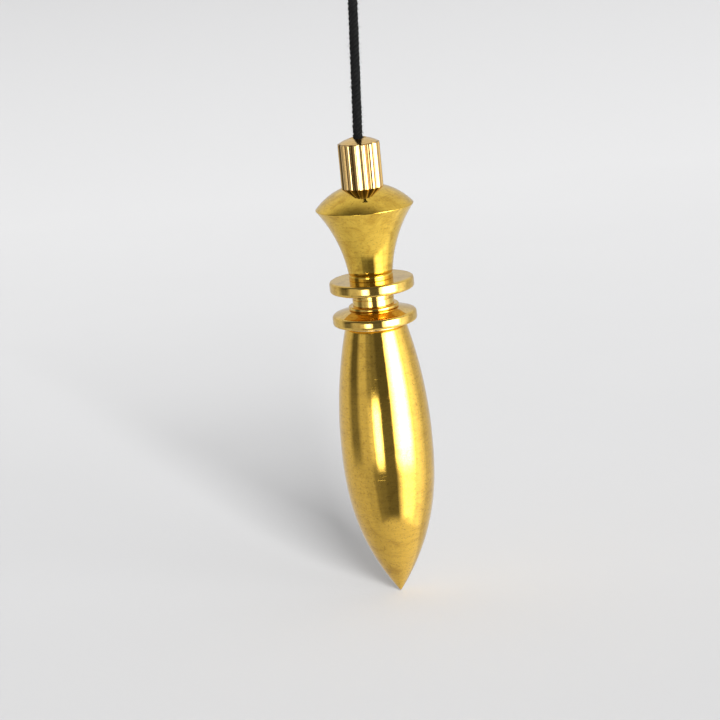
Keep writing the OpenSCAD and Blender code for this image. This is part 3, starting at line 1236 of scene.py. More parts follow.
@dataclass
class Head:
    """The flared head and the nipple in its dome.

    Attributes:
        foot_radius: Radius of the short foot.
        foot_height: Height of the short foot.
        funnel_height: Height of the funnel.
        funnel_sag: How far its wall curves in from a straight line.
        dome_height: Height of the dome above the rim.
        seat_depth: Depth of the cap's seat below the dome's top.
        rim_edge: Rounding of the sharp rim.
        stud_bore: Radius of the hole for the stud.
        socket_radius: Radius of the socket for the nipple.
        nipple_bore: Radius of the nipple's bore.
        nipple_bore_depth: Depth of that bore below the dome's top.
    """

    foot_radius: float = 4.15
    foot_height: float = 1.1
    funnel_height: float = 12.6
    funnel_sag: float = 0.9
    dome_height: float = 4.3
    seat_depth: float = 0.65
    rim_edge: float = 0.14
    stud_bore: float = 2.05
    socket_radius: float = 3.05
    nipple_bore: float = 2.4
    nipple_bore_depth: float = 2.0

    def build(self, datum: Datum) -> bpy.types.Object:
        """Turns the head.

        Args:
            datum: The bob's datum.

        Returns:
            The head.
        """
        low, _, radius = datum.span("head")
        _, stud_top, _ = datum.span("neck_stud")
        socket_floor, _, _ = datum.span("cap_nipple")
        foot_top = low + self.foot_height
        rim = foot_top + self.funnel_height
        top = rim + self.dome_height
        funnel = sagged_arc((self.foot_radius, foot_top), (radius, rim), self.funnel_sag, 48)
        dome_r = upright_arc_radius(self.dome_height, radius)
        start = math.pi / 2 - math.asin(radius / dome_r)
        seat = top - self.seat_depth
        seat_radius = math.sqrt(2 * dome_r * self.seat_depth - self.seat_depth**2)
        end = math.pi / 2 - math.asin(seat_radius / dome_r)
        dome = arc_points((0.0, top - dome_r), dome_r, start, end, 24)
        rim_corner = Corner(radius, rim, self.rim_edge)
        outline = [Corner(0.0, stud_top + 1.0), Corner(self.stud_bore, stud_top + 1.0, 0.05)]
        outline += [Corner(self.stud_bore, low, 0.05), Corner(self.foot_radius, low, 0.1)]
        outline += [Corner(self.foot_radius, foot_top - 0.25, 0.1)]
        outline += [Corner(self.foot_radius - 0.12, foot_top - 0.12, 0.05)]
        outline += funnel[:-1] + [rim_corner] + dome[1:-1]
        outline += [
            Corner(seat_radius, seat, 0.04),
            Corner(self.socket_radius, seat, 0.03),
            Corner(self.socket_radius, socket_floor, 0.05),
            Corner(0.0, socket_floor),
        ]
        return turned("head_turned", datum, outline, 192)

    def nipple(self, datum: Datum) -> bpy.types.Object:
        """Turns the screwed nipple.

        Args:
            datum: The bob's datum.

        Returns:
            The nipple.
        """
        low, high, radius = datum.span("cap_nipple")
        head_low, _, _ = datum.span("head")
        dome_top = head_low + self.foot_height + self.funnel_height + self.dome_height
        floor = dome_top - self.nipple_bore_depth
        thread = Thread(low + 0.4, high - 0.35, radius)
        outline = [Corner(0.0, low), Corner(radius - 0.5, low, 0.05)]
        outline += thread.corners(upwards=True)
        outline += [
            Corner(radius - 0.45, high, 0.05),
            Corner(self.nipple_bore, high, 0.04),
            Corner(self.nipple_bore, floor, 0.2),
            Corner(0.0, floor),
        ]
        return turned("cap_nipple_turned", datum, outline, 96, with_threads(thread))

    def finish(self, datum: Datum, palette: Palette) -> None:
        """Builds and dresses the head and its nipple.

        Args:
            datum: The bob's datum.
            palette: The bob's materials.
        """
        dress(self.build(datum), palette.satin, Body.UPPER, Slot.SATIN, "head")
        dress(self.nipple(datum), palette.thread, Body.UPPER, Slot.THREAD, "cap_nipple")


@dataclass
class CordCap:
    """The fluted cap that holds the cord.

    Attributes:
        flutes: Number of flutes.
        flute_depth: Depth of a flute.
        crown_height: Height of the rounded top.
        bore_radius: Radius of the tapped bore.
        roof_height: Height of the bore's roof above the cap's foot.
        hole_radius: Radius of the cord hole.
        flare_radius: Radius of the hole's mouth.
        flare_height: Height of the flared mouth.
        steps_per_flute: Number of steps round each flute.
        fluted_from: Distance outside the bore from which a surface is fluted.
    """

    flutes: int = 16
    flute_depth: float = 0.34
    crown_height: float = 1.2
    bore_radius: float = 3.05
    roof_height: float = 6.9
    hole_radius: float = 1.3
    flare_radius: float = 1.6
    flare_height: float = 0.8
    steps_per_flute: int = 18
    fluted_from: float = 0.5

    def fluted_radius(self, angle: float, r: float, cap_radius: float) -> float:
        """Limits a radius to rounded ridges, with a valley at the front.

        Args:
            angle: Angle round the axis in radians.
            r: Nominal radius.
            cap_radius: Radius over the ridges.

        Returns:
            The radius on the ridges.
        """
        turn = (angle + math.pi / 2) * self.flutes / (2 * math.pi)
        across = 1.0 - abs(2.0 * (turn % 1.0) - 1.0)
        ridge = math.sin(across * math.pi / 2) ** 1.25
        return min(r, cap_radius - self.flute_depth * (1.0 - ridge))

    def build(self, datum: Datum) -> bpy.types.Object:
        """Turns and flutes the cap.

        Args:
            datum: The bob's datum.

        Returns:
            The cap.
        """
        low, top, radius = datum.span("cord_cap")
        shoulder = top - self.crown_height
        crown_r = upright_arc_radius(self.crown_height, radius)
        start = math.pi / 2 - math.asin(radius / crown_r)
        end = math.pi / 2 - math.asin(self.flare_radius / crown_r)
        crown = arc_points((0.0, top - crown_r), crown_r, start, end, 36)
        mouth = crown[-1].z
        roof = low + self.roof_height
        thread = Thread(low + 0.3, low + 6.0, self.bore_radius, depth=-0.2)
        foot = low + CONTACT_GAP
        outline = [Corner(self.bore_radius, foot, 0.05), Corner(radius, foot, 0.08)]
        outline += wall(radius, foot, shoulder, 0.6)
        outline += [Corner(radius, shoulder, 0.12)] + crown[1:-1]
        outline += [
            Corner(self.flare_radius, mouth, 0.05),
            Corner(self.hole_radius, top - self.flare_height, 0.1),
            Corner(self.hole_radius, roof, 0.05),
            Corner(self.bore_radius, roof, 0.1),
        ]
        outline += thread.corners(upwards=False)

        def rule(angle: float, r: float, z: float) -> float:
            """Flutes the outside and threads the bore."""
            if r > self.bore_radius + self.fluted_from:
                return self.fluted_radius(angle, r, radius)
            return thread.radius_at(angle, r, z)

        return turned("cord_cap_fluted", datum, outline, self.flutes * self.steps_per_flute, rule)

    def finish(self, datum: Datum, palette: Palette) -> None:
        """Builds and dresses the cap.

        Args:
            datum: The bob's datum.
            palette: The bob's materials.
        """
        dress(self.build(datum), palette.cap, Body.CAP, Slot.CAP, "cord_cap")


# ---------------------------------------------------------------------------
# Cord
# ---------------------------------------------------------------------------


def smooth_path(points: list[Vector], per_span: int) -> list[Vector]:
    """Runs a smooth curve through points.

    Args:
        points: The points to pass.
        per_span: Number of steps between two points.

    Returns:
        The points of the curve.
    """
    found: list[Vector] = []
    last = len(points) - 1
    for i in range(last):
        p0, p1 = points[max(i - 1, 0)], points[i]
        p2, p3 = points[i + 1], points[min(i + 2, last)]
        for k in range(per_span):
            t = k / per_span
            a = 2 * p1
            b = (p2 - p0) * t
            c = (2 * p0 - 5 * p1 + 4 * p2 - p3) * t * t
            d = (3 * p1 - p0 - 3 * p2 + p3) * t * t * t
            found.append((a + b + c + d) / 2)
    found.append(points[last].copy())
    return found


def carried_frames(path: list[Vector]) -> list[tuple[Vector, Vector]]:
    """Carries two side directions along a path without twist.

    Args:
        path: The path's points.

    Returns:
        Two unit directions across the path at each point.
    """
    found: list[tuple[Vector, Vector]] = []
    side = Vector((0.0, 1.0, 0.0))
    last = len(path) - 1
    for i in range(last + 1):
        ahead = (path[min(i + 1, last)] - path[max(i - 1, 0)]).normalized()
        side = (side - ahead * side.dot(ahead)).normalized()
        found.append((side.copy(), ahead.cross(side)))
    return found


@dataclass
class TwistedCord:
    """Makes twisted cotton cord along any path.

    Attributes:
        diameter: Diameter of the cord in metres.
        strands: Number of strands twisted together.
        lay: Length of cord in which a strand goes once round, in metres.
        sides: Number of sides of a strand.
        seed: Seed for the yarn's unevenness and the fuzz.
        fibre_length: Shortest and longest loose fibre, in metres.
        fibre_radius: Radius of a fibre at its root, in metres.
    """

    diameter: float
    strands: int = 4
    lay: float = 0.0036
    sides: int = 12
    seed: int = 7
    fibre_length: tuple[float, float] = (0.00025, 0.0008)
    fibre_radius: float = 0.000012

    def mesh(self, name: str, path: list[Vector]) -> bpy.types.Mesh:
        """Builds the strands as one mesh.

        Args:
            name: Name of the mesh.
            path: Middle line of the cord.

        Returns:
            The mesh.
        """
        rng = random.Random(self.seed)
        frames = carried_frames(path)
        strand_r = self.diameter * 0.275
        swing = self.diameter * 0.23
        bm = bmesh.new()
        for s in range(self.strands):
            phase = 2 * math.pi * s / self.strands
            wobble = rng.uniform(0.0, 10.0)
            travelled = 0.0
            rings = []
            for i, (centre, (side, up)) in enumerate(zip(path, frames)):
                if i:
                    travelled += (centre - path[i - 1]).length
                turn = phase + 2 * math.pi * travelled / self.lay
                uneven = 1.0 + 0.05 * math.sin(travelled / 0.0011 + wobble)
                middle = centre + (side * math.cos(turn) + up * math.sin(turn)) * swing
                ring = []
                for k in range(self.sides):
                    a = 2 * math.pi * k / self.sides
                    out = side * math.cos(a) + up * math.sin(a)
                    yarn = 1.0 + 0.05 * math.cos(5 * (a - turn) - 2 * math.pi * travelled / 0.0016)
                    ring.append(bm.verts.new(middle + out * strand_r * uneven * yarn))
                rings.append(ring)
            for low, high in zip(rings, rings[1:]):
                for k in range(self.sides):
                    n = (k + 1) % self.sides
                    bm.faces.new((low[k], low[n], high[n], high[k]))
            bm.faces.new(list(reversed(rings[0])))
            bm.faces.new(rings[-1])
        bmesh.ops.recalc_face_normals(bm, faces=bm.faces)
        mesh = bpy.data.meshes.new(name)
        bm.to_mesh(mesh)
        bm.free()
        mark_sharp_edges(mesh, 60.0)
        return mesh

    def fuzz(self, name: str, path: list[Vector], count: int, margin: float = 0.04) -> bpy.types.Mesh:
        """Builds loose fibres that stand off the cord.

        Args:
            name: Name of the mesh.
            path: Middle line of the cord.
            count: Number of fibres.
            margin: Share of the path at each end that has none.

        Returns:
            The mesh, made of closed slender spikes.
        """
        rng = random.Random(self.seed + 100)
        frames = carried_frames(path)
        bm = bmesh.new()
        last = len(path) - 1
        for _ in range(count):
            at = rng.uniform(margin, 1.0 - margin) * last
            i = int(at)
            centre = path[i].lerp(path[min(i + 1, last)], at - i)
            side, up = frames[i]
            a = rng.uniform(0.0, 2 * math.pi)
            out = side * math.cos(a) + up * math.sin(a)
            round_ = up * math.cos(a) - side * math.sin(a)
            along = side.cross(up)
            start = centre + out * self.diameter * 0.40
            lean = round_ * rng.uniform(-0.9, 0.9) + along * rng.uniform(-1.0, 1.0)
            heading = (out * rng.uniform(0.25, 1.0) + lean).normalized()
            length = rng.uniform(*self.fibre_length)
            curl = (out * rng.uniform(-0.7, 0.5) + along * rng.uniform(-0.6, 0.6)) * length
            self._spike(bm, start, heading, curl, length)
        bmesh.ops.recalc_face_normals(bm, faces=bm.faces)
        mesh = bpy.data.meshes.new(name)
        bm.to_mesh(mesh)
        bm.free()
        return mesh

    def _spike(
        self,
        bm: bmesh.types.BMesh,
        start: Vector,
        heading: Vector,
        curl: Vector,
        length: float,
    ) -> None:
        """Adds one curved, tapered fibre.

        Args:
            bm: Mesh to add to.
            start: Root of the fibre.
            heading: Direction of the fibre at its root.
            curl: How far its tip bends away.
            length: Length of the fibre.
        """
        steps, sides = 3, 3
        across = heading.orthogonal().normalized()
        other = heading.cross(across)
        rings = []
        for i in range(steps):
            t = i / steps
            centre = start + heading * length * t + curl * t * t
            r = self.fibre_radius * (1.0 - 0.6 * t)
            ring = []
            for k in range(sides):
                a = 2 * math.pi * k / sides
                ring.append(bm.verts.new(centre + (across * math.cos(a) + other * math.sin(a)) * r))
            rings.append(ring)
        tip = bm.verts.new(start + heading * length + curl)
        for low, high in zip(rings, rings[1:]):
            for k in range(sides):
                n = (k + 1) % sides
                bm.faces.new((low[k], low[n], high[n], high[k]))
        for k in range(sides):
            bm.faces.new((rings[-1][k], rings[-1][(k + 1) % sides], tip))
        bm.faces.new(list(reversed(rings[0])))


def linked(name: str, mesh: bpy.types.Mesh) -> bpy.types.Object:
    """Makes an object from a mesh whose points are already in the frame.

    Args:
        name: Name of the object.
        mesh: Its mesh.

    Returns:
        The object.
    """
    piece = bpy.data.objects.new(name, mesh)
    bpy.context.scene.collection.objects.link(piece)
    return piece


@dataclass
class Line:
    """The cord, its two knots and its loop.

    Attributes:
        diameter: Diameter of the cord in metres.
        route: Sideways offset and height above the cap's mouth, in millimetres, as in the CAD model.
        loop_width: Width of the loop at its bow, in millimetres.
        knot_strand: Diameter in metres at which the knots are tied, drawn in by the pull.
        end_knot_size: Half width and half height of the end knot to the strand's middle, in metres.
        stop_knot_size: The same for the stop knot.
        cord_fibres: Number of loose fibres on the cord.
        loop_fibres: Number of loose fibres on the loop.
    """

    diameter: float = 0.0018
    loop_width: float = 6.0
    knot_strand: float = 0.0013
    end_knot_size: tuple[float, float] = (0.00165, 0.00162)
    stop_knot_size: tuple[float, float] = (0.00145, 0.0013)
    cord_fibres: int = 2600
    loop_fibres: int = 1600
    route: list[Point2] = field(
        default_factory=lambda: [
            (0, -2.6), (0, -1.2), (0.03, 0.4), (0.12, 1.9), (0.24, 4), (0.36, 6.2),
            (0.49, 8.4), (0.61, 10.6), (0.73, 12.8), (0.86, 15), (0.98, 17.2), (1.11, 19.4),
            (1.23, 21.6), (1.36, 23.8), (1.48, 26), (1.58, 27.75),
        ]
    )

    def path(self, datum: Datum) -> list[Vector]:
        """The cord's middle line in the frame."""
        _, mouth, _ = datum.span("cord_cap")
        points = [datum.place(x, mouth + z) for x, z in self.route]
        return smooth_path(points, 11)

    def knot_path(self, centre: Vector, size: float, tall: float) -> list[Vector]:
        """Computes the closed line of an overhand knot.

        Args:
            centre: Middle of the knot.
            size: Half of the knot's width, to the strand's middle line.
            tall: Half of the knot's height, to the strand's middle line.

        Returns:
            The points of the line.
        """
        found = []
        steps = 120
        for i in range(steps + 1):
            t = 2 * math.pi * i / steps
            x = (math.sin(t) + 2 * math.sin(2 * t)) / 3
            y = (math.cos(t) - 2 * math.cos(2 * t)) / 3
            z = -math.sin(3 * t)
            found.append(centre + Vector((x * size, z * size * 0.62, y * tall)))
        return found

    def knot_leads(self) -> list[list[Vector]]:
        """Computes the lines of the three cord ends inside the end knot.

        Returns:
            The two lines up to the loop and the line down to the cord.
        """
        low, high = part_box("end_knot")
        middle = (low + high) / 2
        found = []
        for across, end_z in ((-0.001, high.z - 0.0001), (0.001, high.z - 0.0001), (0.0, low.z + 0.00002)):
            start = middle + Vector((across * 0.3, 0.0, 0.0))
            end = Vector((middle.x + across, middle.y, end_z))
            found.append(smooth_path([start, start.lerp(end, 0.5), end], 6))
        return found

    def loop_path(self) -> list[Vector]:
        """Computes the middle line of the hanging loop.

        Returns:
            The points of the line.
        """
        low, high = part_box("hang_loop")
        centre_x = (low.x + high.x) / 2
        half = self.loop_width * MM / 2
        bow_z = high.z - self.diameter / 2 - half
        foot = low.z + 0.0003
        right = [(0.001, foot), (0.0014, foot + 0.0025), (0.0022, foot + 0.0052)]
        bow = []
        for k in range(9):
            a = math.pi * k / 8
            bow.append((half * math.cos(a), bow_z + half * math.sin(a)))
        left = [(-x, z) for x, z in reversed(right)]
        points = [Vector((centre_x + x, 0.0, z)) for x, z in right + bow + left]
        return smooth_path(points, 10)

    def finish(self, datum: Datum, palette: Palette) -> None:
        """Args:
            datum: The bob's datum.
            palette: The bob's materials.
        """
        maker = TwistedCord(self.diameter)
        path = self.path(datum)
        cord = linked("cord_twisted", maker.mesh("cord_twisted", path))
        dress(cord, palette.cotton, Body.LINE, Slot.COTTON, "cord")
        fuzz = linked("cord_fuzz", maker.fuzz("cord_fuzz", path, self.cord_fibres, 0.1))
        dress(fuzz, palette.cotton, Body.LINE, Slot.COTTON)

        loop_path = self.loop_path()
        loop = linked("hang_loop_twisted", maker.mesh("hang_loop_twisted", loop_path))
        dress(loop, palette.cotton, Body.GRIP, Slot.COTTON, "hang_loop")
        loop_fuzz_mesh = maker.fuzz("hang_loop_fuzz", loop_path, self.loop_fibres, 0.05)
        loop_fuzz = linked("hang_loop_fuzz", loop_fuzz_mesh)
        dress(loop_fuzz, palette.cotton, Body.GRIP, Slot.COTTON)

        strand = TwistedCord(self.knot_strand, lay=0.0036, sides=10, seed=11)
        low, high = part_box("end_knot")
        end_path = self.knot_path((low + high) / 2, *self.end_knot_size)
        end_knot = linked("end_knot_tied", strand.mesh("end_knot_tied", end_path))
        dress(end_knot, palette.cotton, Body.KNOT, Slot.COTTON, "end_knot")
        leads = []
        for i, lead_path in enumerate(self.knot_leads()):
            name = f"end_knot_lead_{i}"
            leads.append(linked(name, maker.mesh(name, lead_path)))
            dress(leads[-1], palette.cotton, Body.KNOT, Slot.COTTON)
        low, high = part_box("stop_knot")
        stop_path = self.knot_path((low + high) / 2, *self.stop_knot_size)
        stop_knot = linked("stop_knot_tied", strand.mesh("stop_knot_tied", stop_path))
        dress(stop_knot, palette.cotton, Body.SWIVEL, Slot.COTTON, "stop_knot")


# ---------------------------------------------------------------------------
# Stage
# ---------------------------------------------------------------------------


@dataclass(frozen=True)
class RoomThing:
    """Something that stands round the bob and shows in the brass.

    Attributes:
        label: What it is.
        left: Bearing of its left edge in degrees, zero in front and positive to the right.
        right: Bearing of its right edge.
        eye: Its brightness at eye level.
        sill: Its brightness at the height of the window sills.
        table: Its brightness just over the far side of the table.
    """

    label: str
    left: float
    right: float
    eye: float
    sill: float
    table: float

    def stops(self, brightness: float) -> list[Point2]:
        """Computes the ramp stops at its two edges.

        Args:
            brightness: Its brightness at one level.

        Returns:
            Position round the room and share of the peak brightness, for each edge.
        """
        return [(b / 360 + 0.5, brightness / ROOM_PEAK) for b in (self.left, self.right)]


# The brightest thing in the room, and everything in it from left to right
ROOM_PEAK = 13.0
ROOM = [
    RoomThing("wall on the left", -180, -105, 0.6, 0.6, 0.6),
    RoomThing("dark doorway", -90, -74, 0.12, 0.2, 0.6),
    RoomThing("pale cupboard", -62, -46, 0.6, 0.6, 0.5),
    RoomThing("chair back", -38, -32, 0.3, 0.9, 0.25),
    RoomThing("low lamp", -24, -16, 0.2, 7.0, 0.2),
    RoomThing("dark clothes", -8, 16, 0.1, 0.15, 0.15),
    RoomThing("tall window", 38, 56, ROOM_PEAK, ROOM_PEAK, 2.5),
    RoomThing("wall beside the window", 72, 82, 1.5, 1.5, 1.5),
    RoomThing("wall on the right", 110, 180, 0.6, 0.6, 0.7),
]


@dataclass
class Studio:
    """Floor, light and camera.

    Attributes:
        distance: Distance from the camera to its target in metres.
        elevation_deg: Angle of the camera above the level.
        roll_deg: Roll of the camera.
        lens_mm: Focal length on a 36 mm sensor.
        target_x: X of the target in metres.
        target_z: Z of the target in metres.
        floor_size: Width of the floor in metres.
        table_light: Brightness of the table towards the window.
        table_shade: Brightness of the table away from it.
        ceiling_light: Brightness of the ceiling at the back.
        ceiling_shade: Brightness of the ceiling at the front.
        sill_level_deg: Angles above the level between which the sills give way to eye level.
        table_edge_deg: Angles between which the table's far side gives way to the sills.
        table_level_deg: Angles between which the table gives way to its far side.
        ceiling_level_deg: Angles between which the walls give way to the ceiling.
        lamp_elevation_deg: Angle of the lamp above the level.
        lamp_bearing_deg: Bearing of the lamp to the right of the front.
        lamp_distance: Distance of the lamp in metres.
        lamp_size: Width of the lamp's face in metres.
        lamp_watts: Power of the lamp.
    """

    distance: float = 0.45
    elevation_deg: float = 13.6
    roll_deg: float = -5.559
    lens_mm: float = 119.216
    target_x: float = -0.005276
    target_z: float = -0.087823
    floor_size: float = 6.0
    table_light: float = 1.0
    table_shade: float = 0.55
    ceiling_light: float = 0.72
    ceiling_shade: float = 0.12
    sill_level_deg: tuple[float, float] = (-6.0, 1.0)
    table_edge_deg: tuple[float, float] = (-21.0, -14.0)
    table_level_deg: tuple[float, float] = (-45.0, -38.0)
    ceiling_level_deg: tuple[float, float] = (14.0, 28.0)
    lamp_elevation_deg: float = 24.0
    lamp_bearing_deg: float = 14.0
    lamp_distance: float = 9.0
    lamp_size: float = 2.8
    lamp_watts: float = 1310.0

    def camera(self) -> bpy.types.Object:
        """Places the camera.

        Returns:
            The camera.
        """
        data = bpy.data.cameras.new("camera")
        data.sensor_width = 36.0
        data.lens = self.lens_mm
        data.clip_start = 0.01
        data.clip_end = 50.0
        camera = bpy.data.objects.new("camera", data)
        bpy.context.scene.collection.objects.link(camera)
        tilt = math.radians(self.elevation_deg)
        target = Vector((self.target_x, 0.0, self.target_z))
        away = Vector((0.0, -math.cos(tilt), math.sin(tilt)))
        camera.location = target + away * self.distance
        aim = Matrix.Rotation(math.pi / 2 - tilt, 4, "X")
        camera.rotation_euler = (aim @ Matrix.Rotation(math.radians(self.roll_deg), 4, "Z")).to_euler()
        bpy.context.scene.camera = camera
        return camera

    def paper(self) -> bpy.types.Material:
        """Builds the matt pale surface of the floor.

        Returns:
            The material.
        """
        material = bpy.data.materials.new("floor_paper")
        material.use_nodes = True
        tree = material.node_tree
        nodes, links = tree.nodes, tree.links
        nodes.clear()
        place = nodes.new("ShaderNodeTexCoord")
        place.label = "Place on the floor"
        place.location = (-900, 0)
        tooth = nodes.new("ShaderNodeTexNoise")
        tooth.label = "Paper tooth"
        tooth.location = (-700, -120)
        cloud = nodes.new("ShaderNodeTexNoise")
        cloud.label = "Faint clouds"
        cloud.location = (-700, 160)
        split = nodes.new("ShaderNodeSeparateXYZ")
        split.label = "Depth of the floor"
        split.location = (-900, 400)
        # Painted light: the paper's colour grows paler towards the back, standing in for light that falls
        # more strongly there
        depth = nodes.new("ShaderNodeMapRange")
        depth.label = "Painted light, paler towards the back"
        depth.location = (-700, 400)
        clouds_and_painted_light = nodes.new("ShaderNodeMath")
        clouds_and_painted_light.label = "Faint clouds in the paper and painted light"
        clouds_and_painted_light.operation = "MULTIPLY_ADD"
        clouds_and_painted_light.location = (-540, 280)
        tint = nodes.new("ShaderNodeMix")
        tint.label = "Paper tint with painted light"
        tint.data_type = "RGBA"
        tint.location = (-400, 160)
        relief = nodes.new("ShaderNodeBump")
        relief.label = "Tooth relief"
        relief.location = (-400, -120)
        paper = nodes.new("ShaderNodeBsdfPrincipled")
        paper.label = "Paper"
        paper.location = (-140, 60)
        output = nodes.new("ShaderNodeOutputMaterial")
        output.label = "Surface"
        output.location = (160, 60)
        tooth.inputs["Scale"].default_value = 900.0
        tooth.inputs["Detail"].default_value = 6.0
        cloud.inputs["Scale"].default_value = 14.0
        cloud.inputs["Detail"].default_value = 3.0
        tint.inputs[6].default_value = (0.55, 0.55, 0.555, 1.0)
        tint.inputs[7].default_value = (0.7, 0.7, 0.705, 1.0)
        depth.inputs["From Min"].default_value = -0.12
        depth.inputs["From Max"].default_value = 0.5
        clouds_and_painted_light.inputs[1].default_value = 0.12
        relief.inputs["Distance"].default_value = 0.0001
        relief.inputs["Strength"].default_value = 0.25
        paper.inputs["Roughness"].default_value = 0.9
        paper.inputs["Specular IOR Level"].default_value = 0.1
        links.new(place.outputs["Object"], tooth.inputs["Vector"])
        links.new(place.outputs["Object"], cloud.inputs["Vector"])
        links.new(place.outputs["Object"], split.inputs["Vector"])
        links.new(split.outputs["Y"], depth.inputs["Value"])
        links.new(cloud.outputs["Fac"], clouds_and_painted_light.inputs[0])
        links.new(depth.outputs["Result"], clouds_and_painted_light.inputs[2])
        links.new(clouds_and_painted_light.outputs["Value"], tint.inputs["Factor"])
        links.new(tooth.outputs["Fac"], relief.inputs["Height"])
        links.new(tint.outputs[2], paper.inputs["Base Color"])
        links.new(relief.outputs["Normal"], paper.inputs["Normal"])
        links.new(paper.outputs["BSDF"], output.inputs["Surface"])
        return material

    def floor(self, datum: Datum) -> bpy.types.Object:
        """Lays the floor just under the bob's point.

        Args:
            datum: The bob's datum.

        Returns:
            The floor.
        """
        half = self.floor_size / 2
        bm = bmesh.new()
        corners = [(-half, -half), (half, -half), (half, half), (-half, half)]
        bm.faces.new([bm.verts.new((x, y, 0.0)) for x, y in corners])
        mesh = bpy.data.meshes.new("floor")
        bm.to_mesh(mesh)
        bm.free()
        floor = linked("floor", mesh)
        floor.location = (0.0, 0.0, datum.point_z - 0.00002)
        floor.data.materials.append(self.paper())
        floor.visible_glossy = False
        return floor

    def room(self) -> None:
        """Builds the room that the brass reflects: walls at three levels, a ceiling and a table."""
        world = bpy.data.worlds.new("room")
        bpy.context.scene.world = world
        world.use_nodes = True
        tree = world.node_tree
        nodes, links = tree.nodes, tree.links
        nodes.clear()

        bearing_frame = nodes.new("NodeFrame")
        bearing_frame.label = "Bearing round the room"
        walls_frame = nodes.new("NodeFrame")
        walls_frame.label = "Walls at three levels"
        level_frame = nodes.new("NodeFrame")
        level_frame.label = "Where each level shows"

        place = nodes.new("ShaderNodeTexCoord")
        place.label = "Direction"
        place.location = (-1500, 0)
        split = nodes.new("ShaderNodeSeparateXYZ")
        split.label = "Direction's parts"
        split.location = (-1320, 0)
        front = nodes.new("ShaderNodeMath")
        front.label = "Front is minus Y"
        front.operation = "MULTIPLY"
        front.location = (-1120, 60)
        front.parent = bearing_frame
        bearing = nodes.new("ShaderNodeMath")
        bearing.label = "Bearing from the front"
        bearing.operation = "ARCTAN2"
        bearing.location = (-940, 120)
        bearing.parent = bearing_frame
        share = nodes.new("ShaderNodeMapRange")
        share.label = "Once round the room"
        share.location = (-760, 120)
        share.parent = bearing_frame
        eye = nodes.new("ShaderNodeValToRGB")
        eye.label = "Windows and walls at eye level"
        eye.location = (-520, 520)
        eye.parent = walls_frame
        sill = nodes.new("ShaderNodeValToRGB")
        sill.label = "Window sills"
        sill.location = (-520, 260)
        sill.parent = walls_frame
        edge = nodes.new("ShaderNodeValToRGB")
        edge.label = "Far side of the table"
        edge.location = (-520, 0)
        edge.parent = walls_frame
        above_sill = nodes.new("ShaderNodeMapRange")
        above_sill.label = "Above the sills"
        above_sill.interpolation_type = "SMOOTHSTEP"
        above_sill.location = (-520, -260)
        above_sill.parent = level_frame
        above_edge = nodes.new("ShaderNodeMapRange")
        above_edge.label = "Above the far side of the table"
        above_edge.interpolation_type = "SMOOTHSTEP"
        above_edge.location = (-340, -260)
        above_edge.parent = level_frame
        above_table = nodes.new("ShaderNodeMapRange")
        above_table.label = "Above the white table"
        above_table.interpolation_type = "SMOOTHSTEP"
        above_table.location = (-160, -260)
        above_table.parent = level_frame
        slanted = nodes.new("ShaderNodeMath")
        slanted.label = "Ceiling is darker to the left too"
        slanted.operation = "MULTIPLY_ADD"
        slanted.location = (200, -340)
        overhead = nodes.new("ShaderNodeMapRange")
        overhead.label = "Ceiling, dark overhead at the front"
        overhead.interpolation_type = "SMOOTHSTEP"
        overhead.location = (380, -140)
        ceiling = nodes.new("ShaderNodeMapRange")
        ceiling.label = "Up to the ceiling"
        ceiling.interpolation_type = "SMOOTHSTEP"
        ceiling.location = (20, -260)
        ceiling.parent = level_frame
        lower_walls = nodes.new("ShaderNodeMix")
        lower_walls.label = "Sills over the table's far side"
        lower_walls.location = (-160, 160)
        all_walls = nodes.new("ShaderNodeMix")
        all_walls.label = "Eye level over sills"
        all_walls.location = (20, 260)
        gain = nodes.new("ShaderNodeMath")
        gain.label = "Window brightness"
        gain.operation = "MULTIPLY"
        gain.location = (200, 200)
        table = nodes.new("ShaderNodeMapRange")
        table.label = "White table, brighter towards the windows"
        table.location = (200, -20)
        with_table = nodes.new("ShaderNodeMix")
        with_table.label = "Walls over the table"
        with_table.location = (380, 120)
        whole = nodes.new("ShaderNodeMix")
        whole.label = "Ceiling over the walls"
        whole.location = (560, 60)
        backdrop = nodes.new("ShaderNodeBackground")
        backdrop.label = "Room light"
        backdrop.location = (760, 0)
        output = nodes.new("ShaderNodeOutputWorld")
        output.label = "World"
        output.location = (960, 0)

        front.inputs[1].default_value = -1.0
        share.inputs["From Min"].default_value = -math.pi
        share.inputs["From Max"].default_value = math.pi
        fill_ramp(eye.color_ramp, [stop for thing in ROOM for stop in thing.stops(thing.eye)])
        fill_ramp(sill.color_ramp, [stop for thing in ROOM for stop in thing.stops(thing.sill)])
        fill_ramp(edge.color_ramp, [stop for thing in ROOM for stop in thing.stops(thing.table)])
        levels = (
            (above_sill, self.sill_level_deg),
            (above_edge, self.table_edge_deg),
            (above_table, self.table_level_deg),
            (ceiling, self.ceiling_level_deg),
        )
        for level_node, (lower_deg, upper_deg) in levels:
            level_node.inputs["From Min"].default_value = math.sin(math.radians(lower_deg))
            level_node.inputs["From Max"].default_value = math.sin(math.radians(upper_deg))
        gain.inputs[1].default_value = ROOM_PEAK
        table.inputs["From Min"].default_value = -0.7
        table.inputs["From Max"].default_value = 0.7
        table.inputs["To Min"].default_value = self.table_shade
        table.inputs["To Max"].default_value = self.table_light
        slanted.inputs[1].default_value = 0.45
        overhead.inputs["From Min"].default_value = -0.45
        overhead.inputs["From Max"].default_value = 0.3
        overhead.inputs["To Min"].default_value = self.ceiling_shade
        overhead.inputs["To Max"].default_value = self.ceiling_light

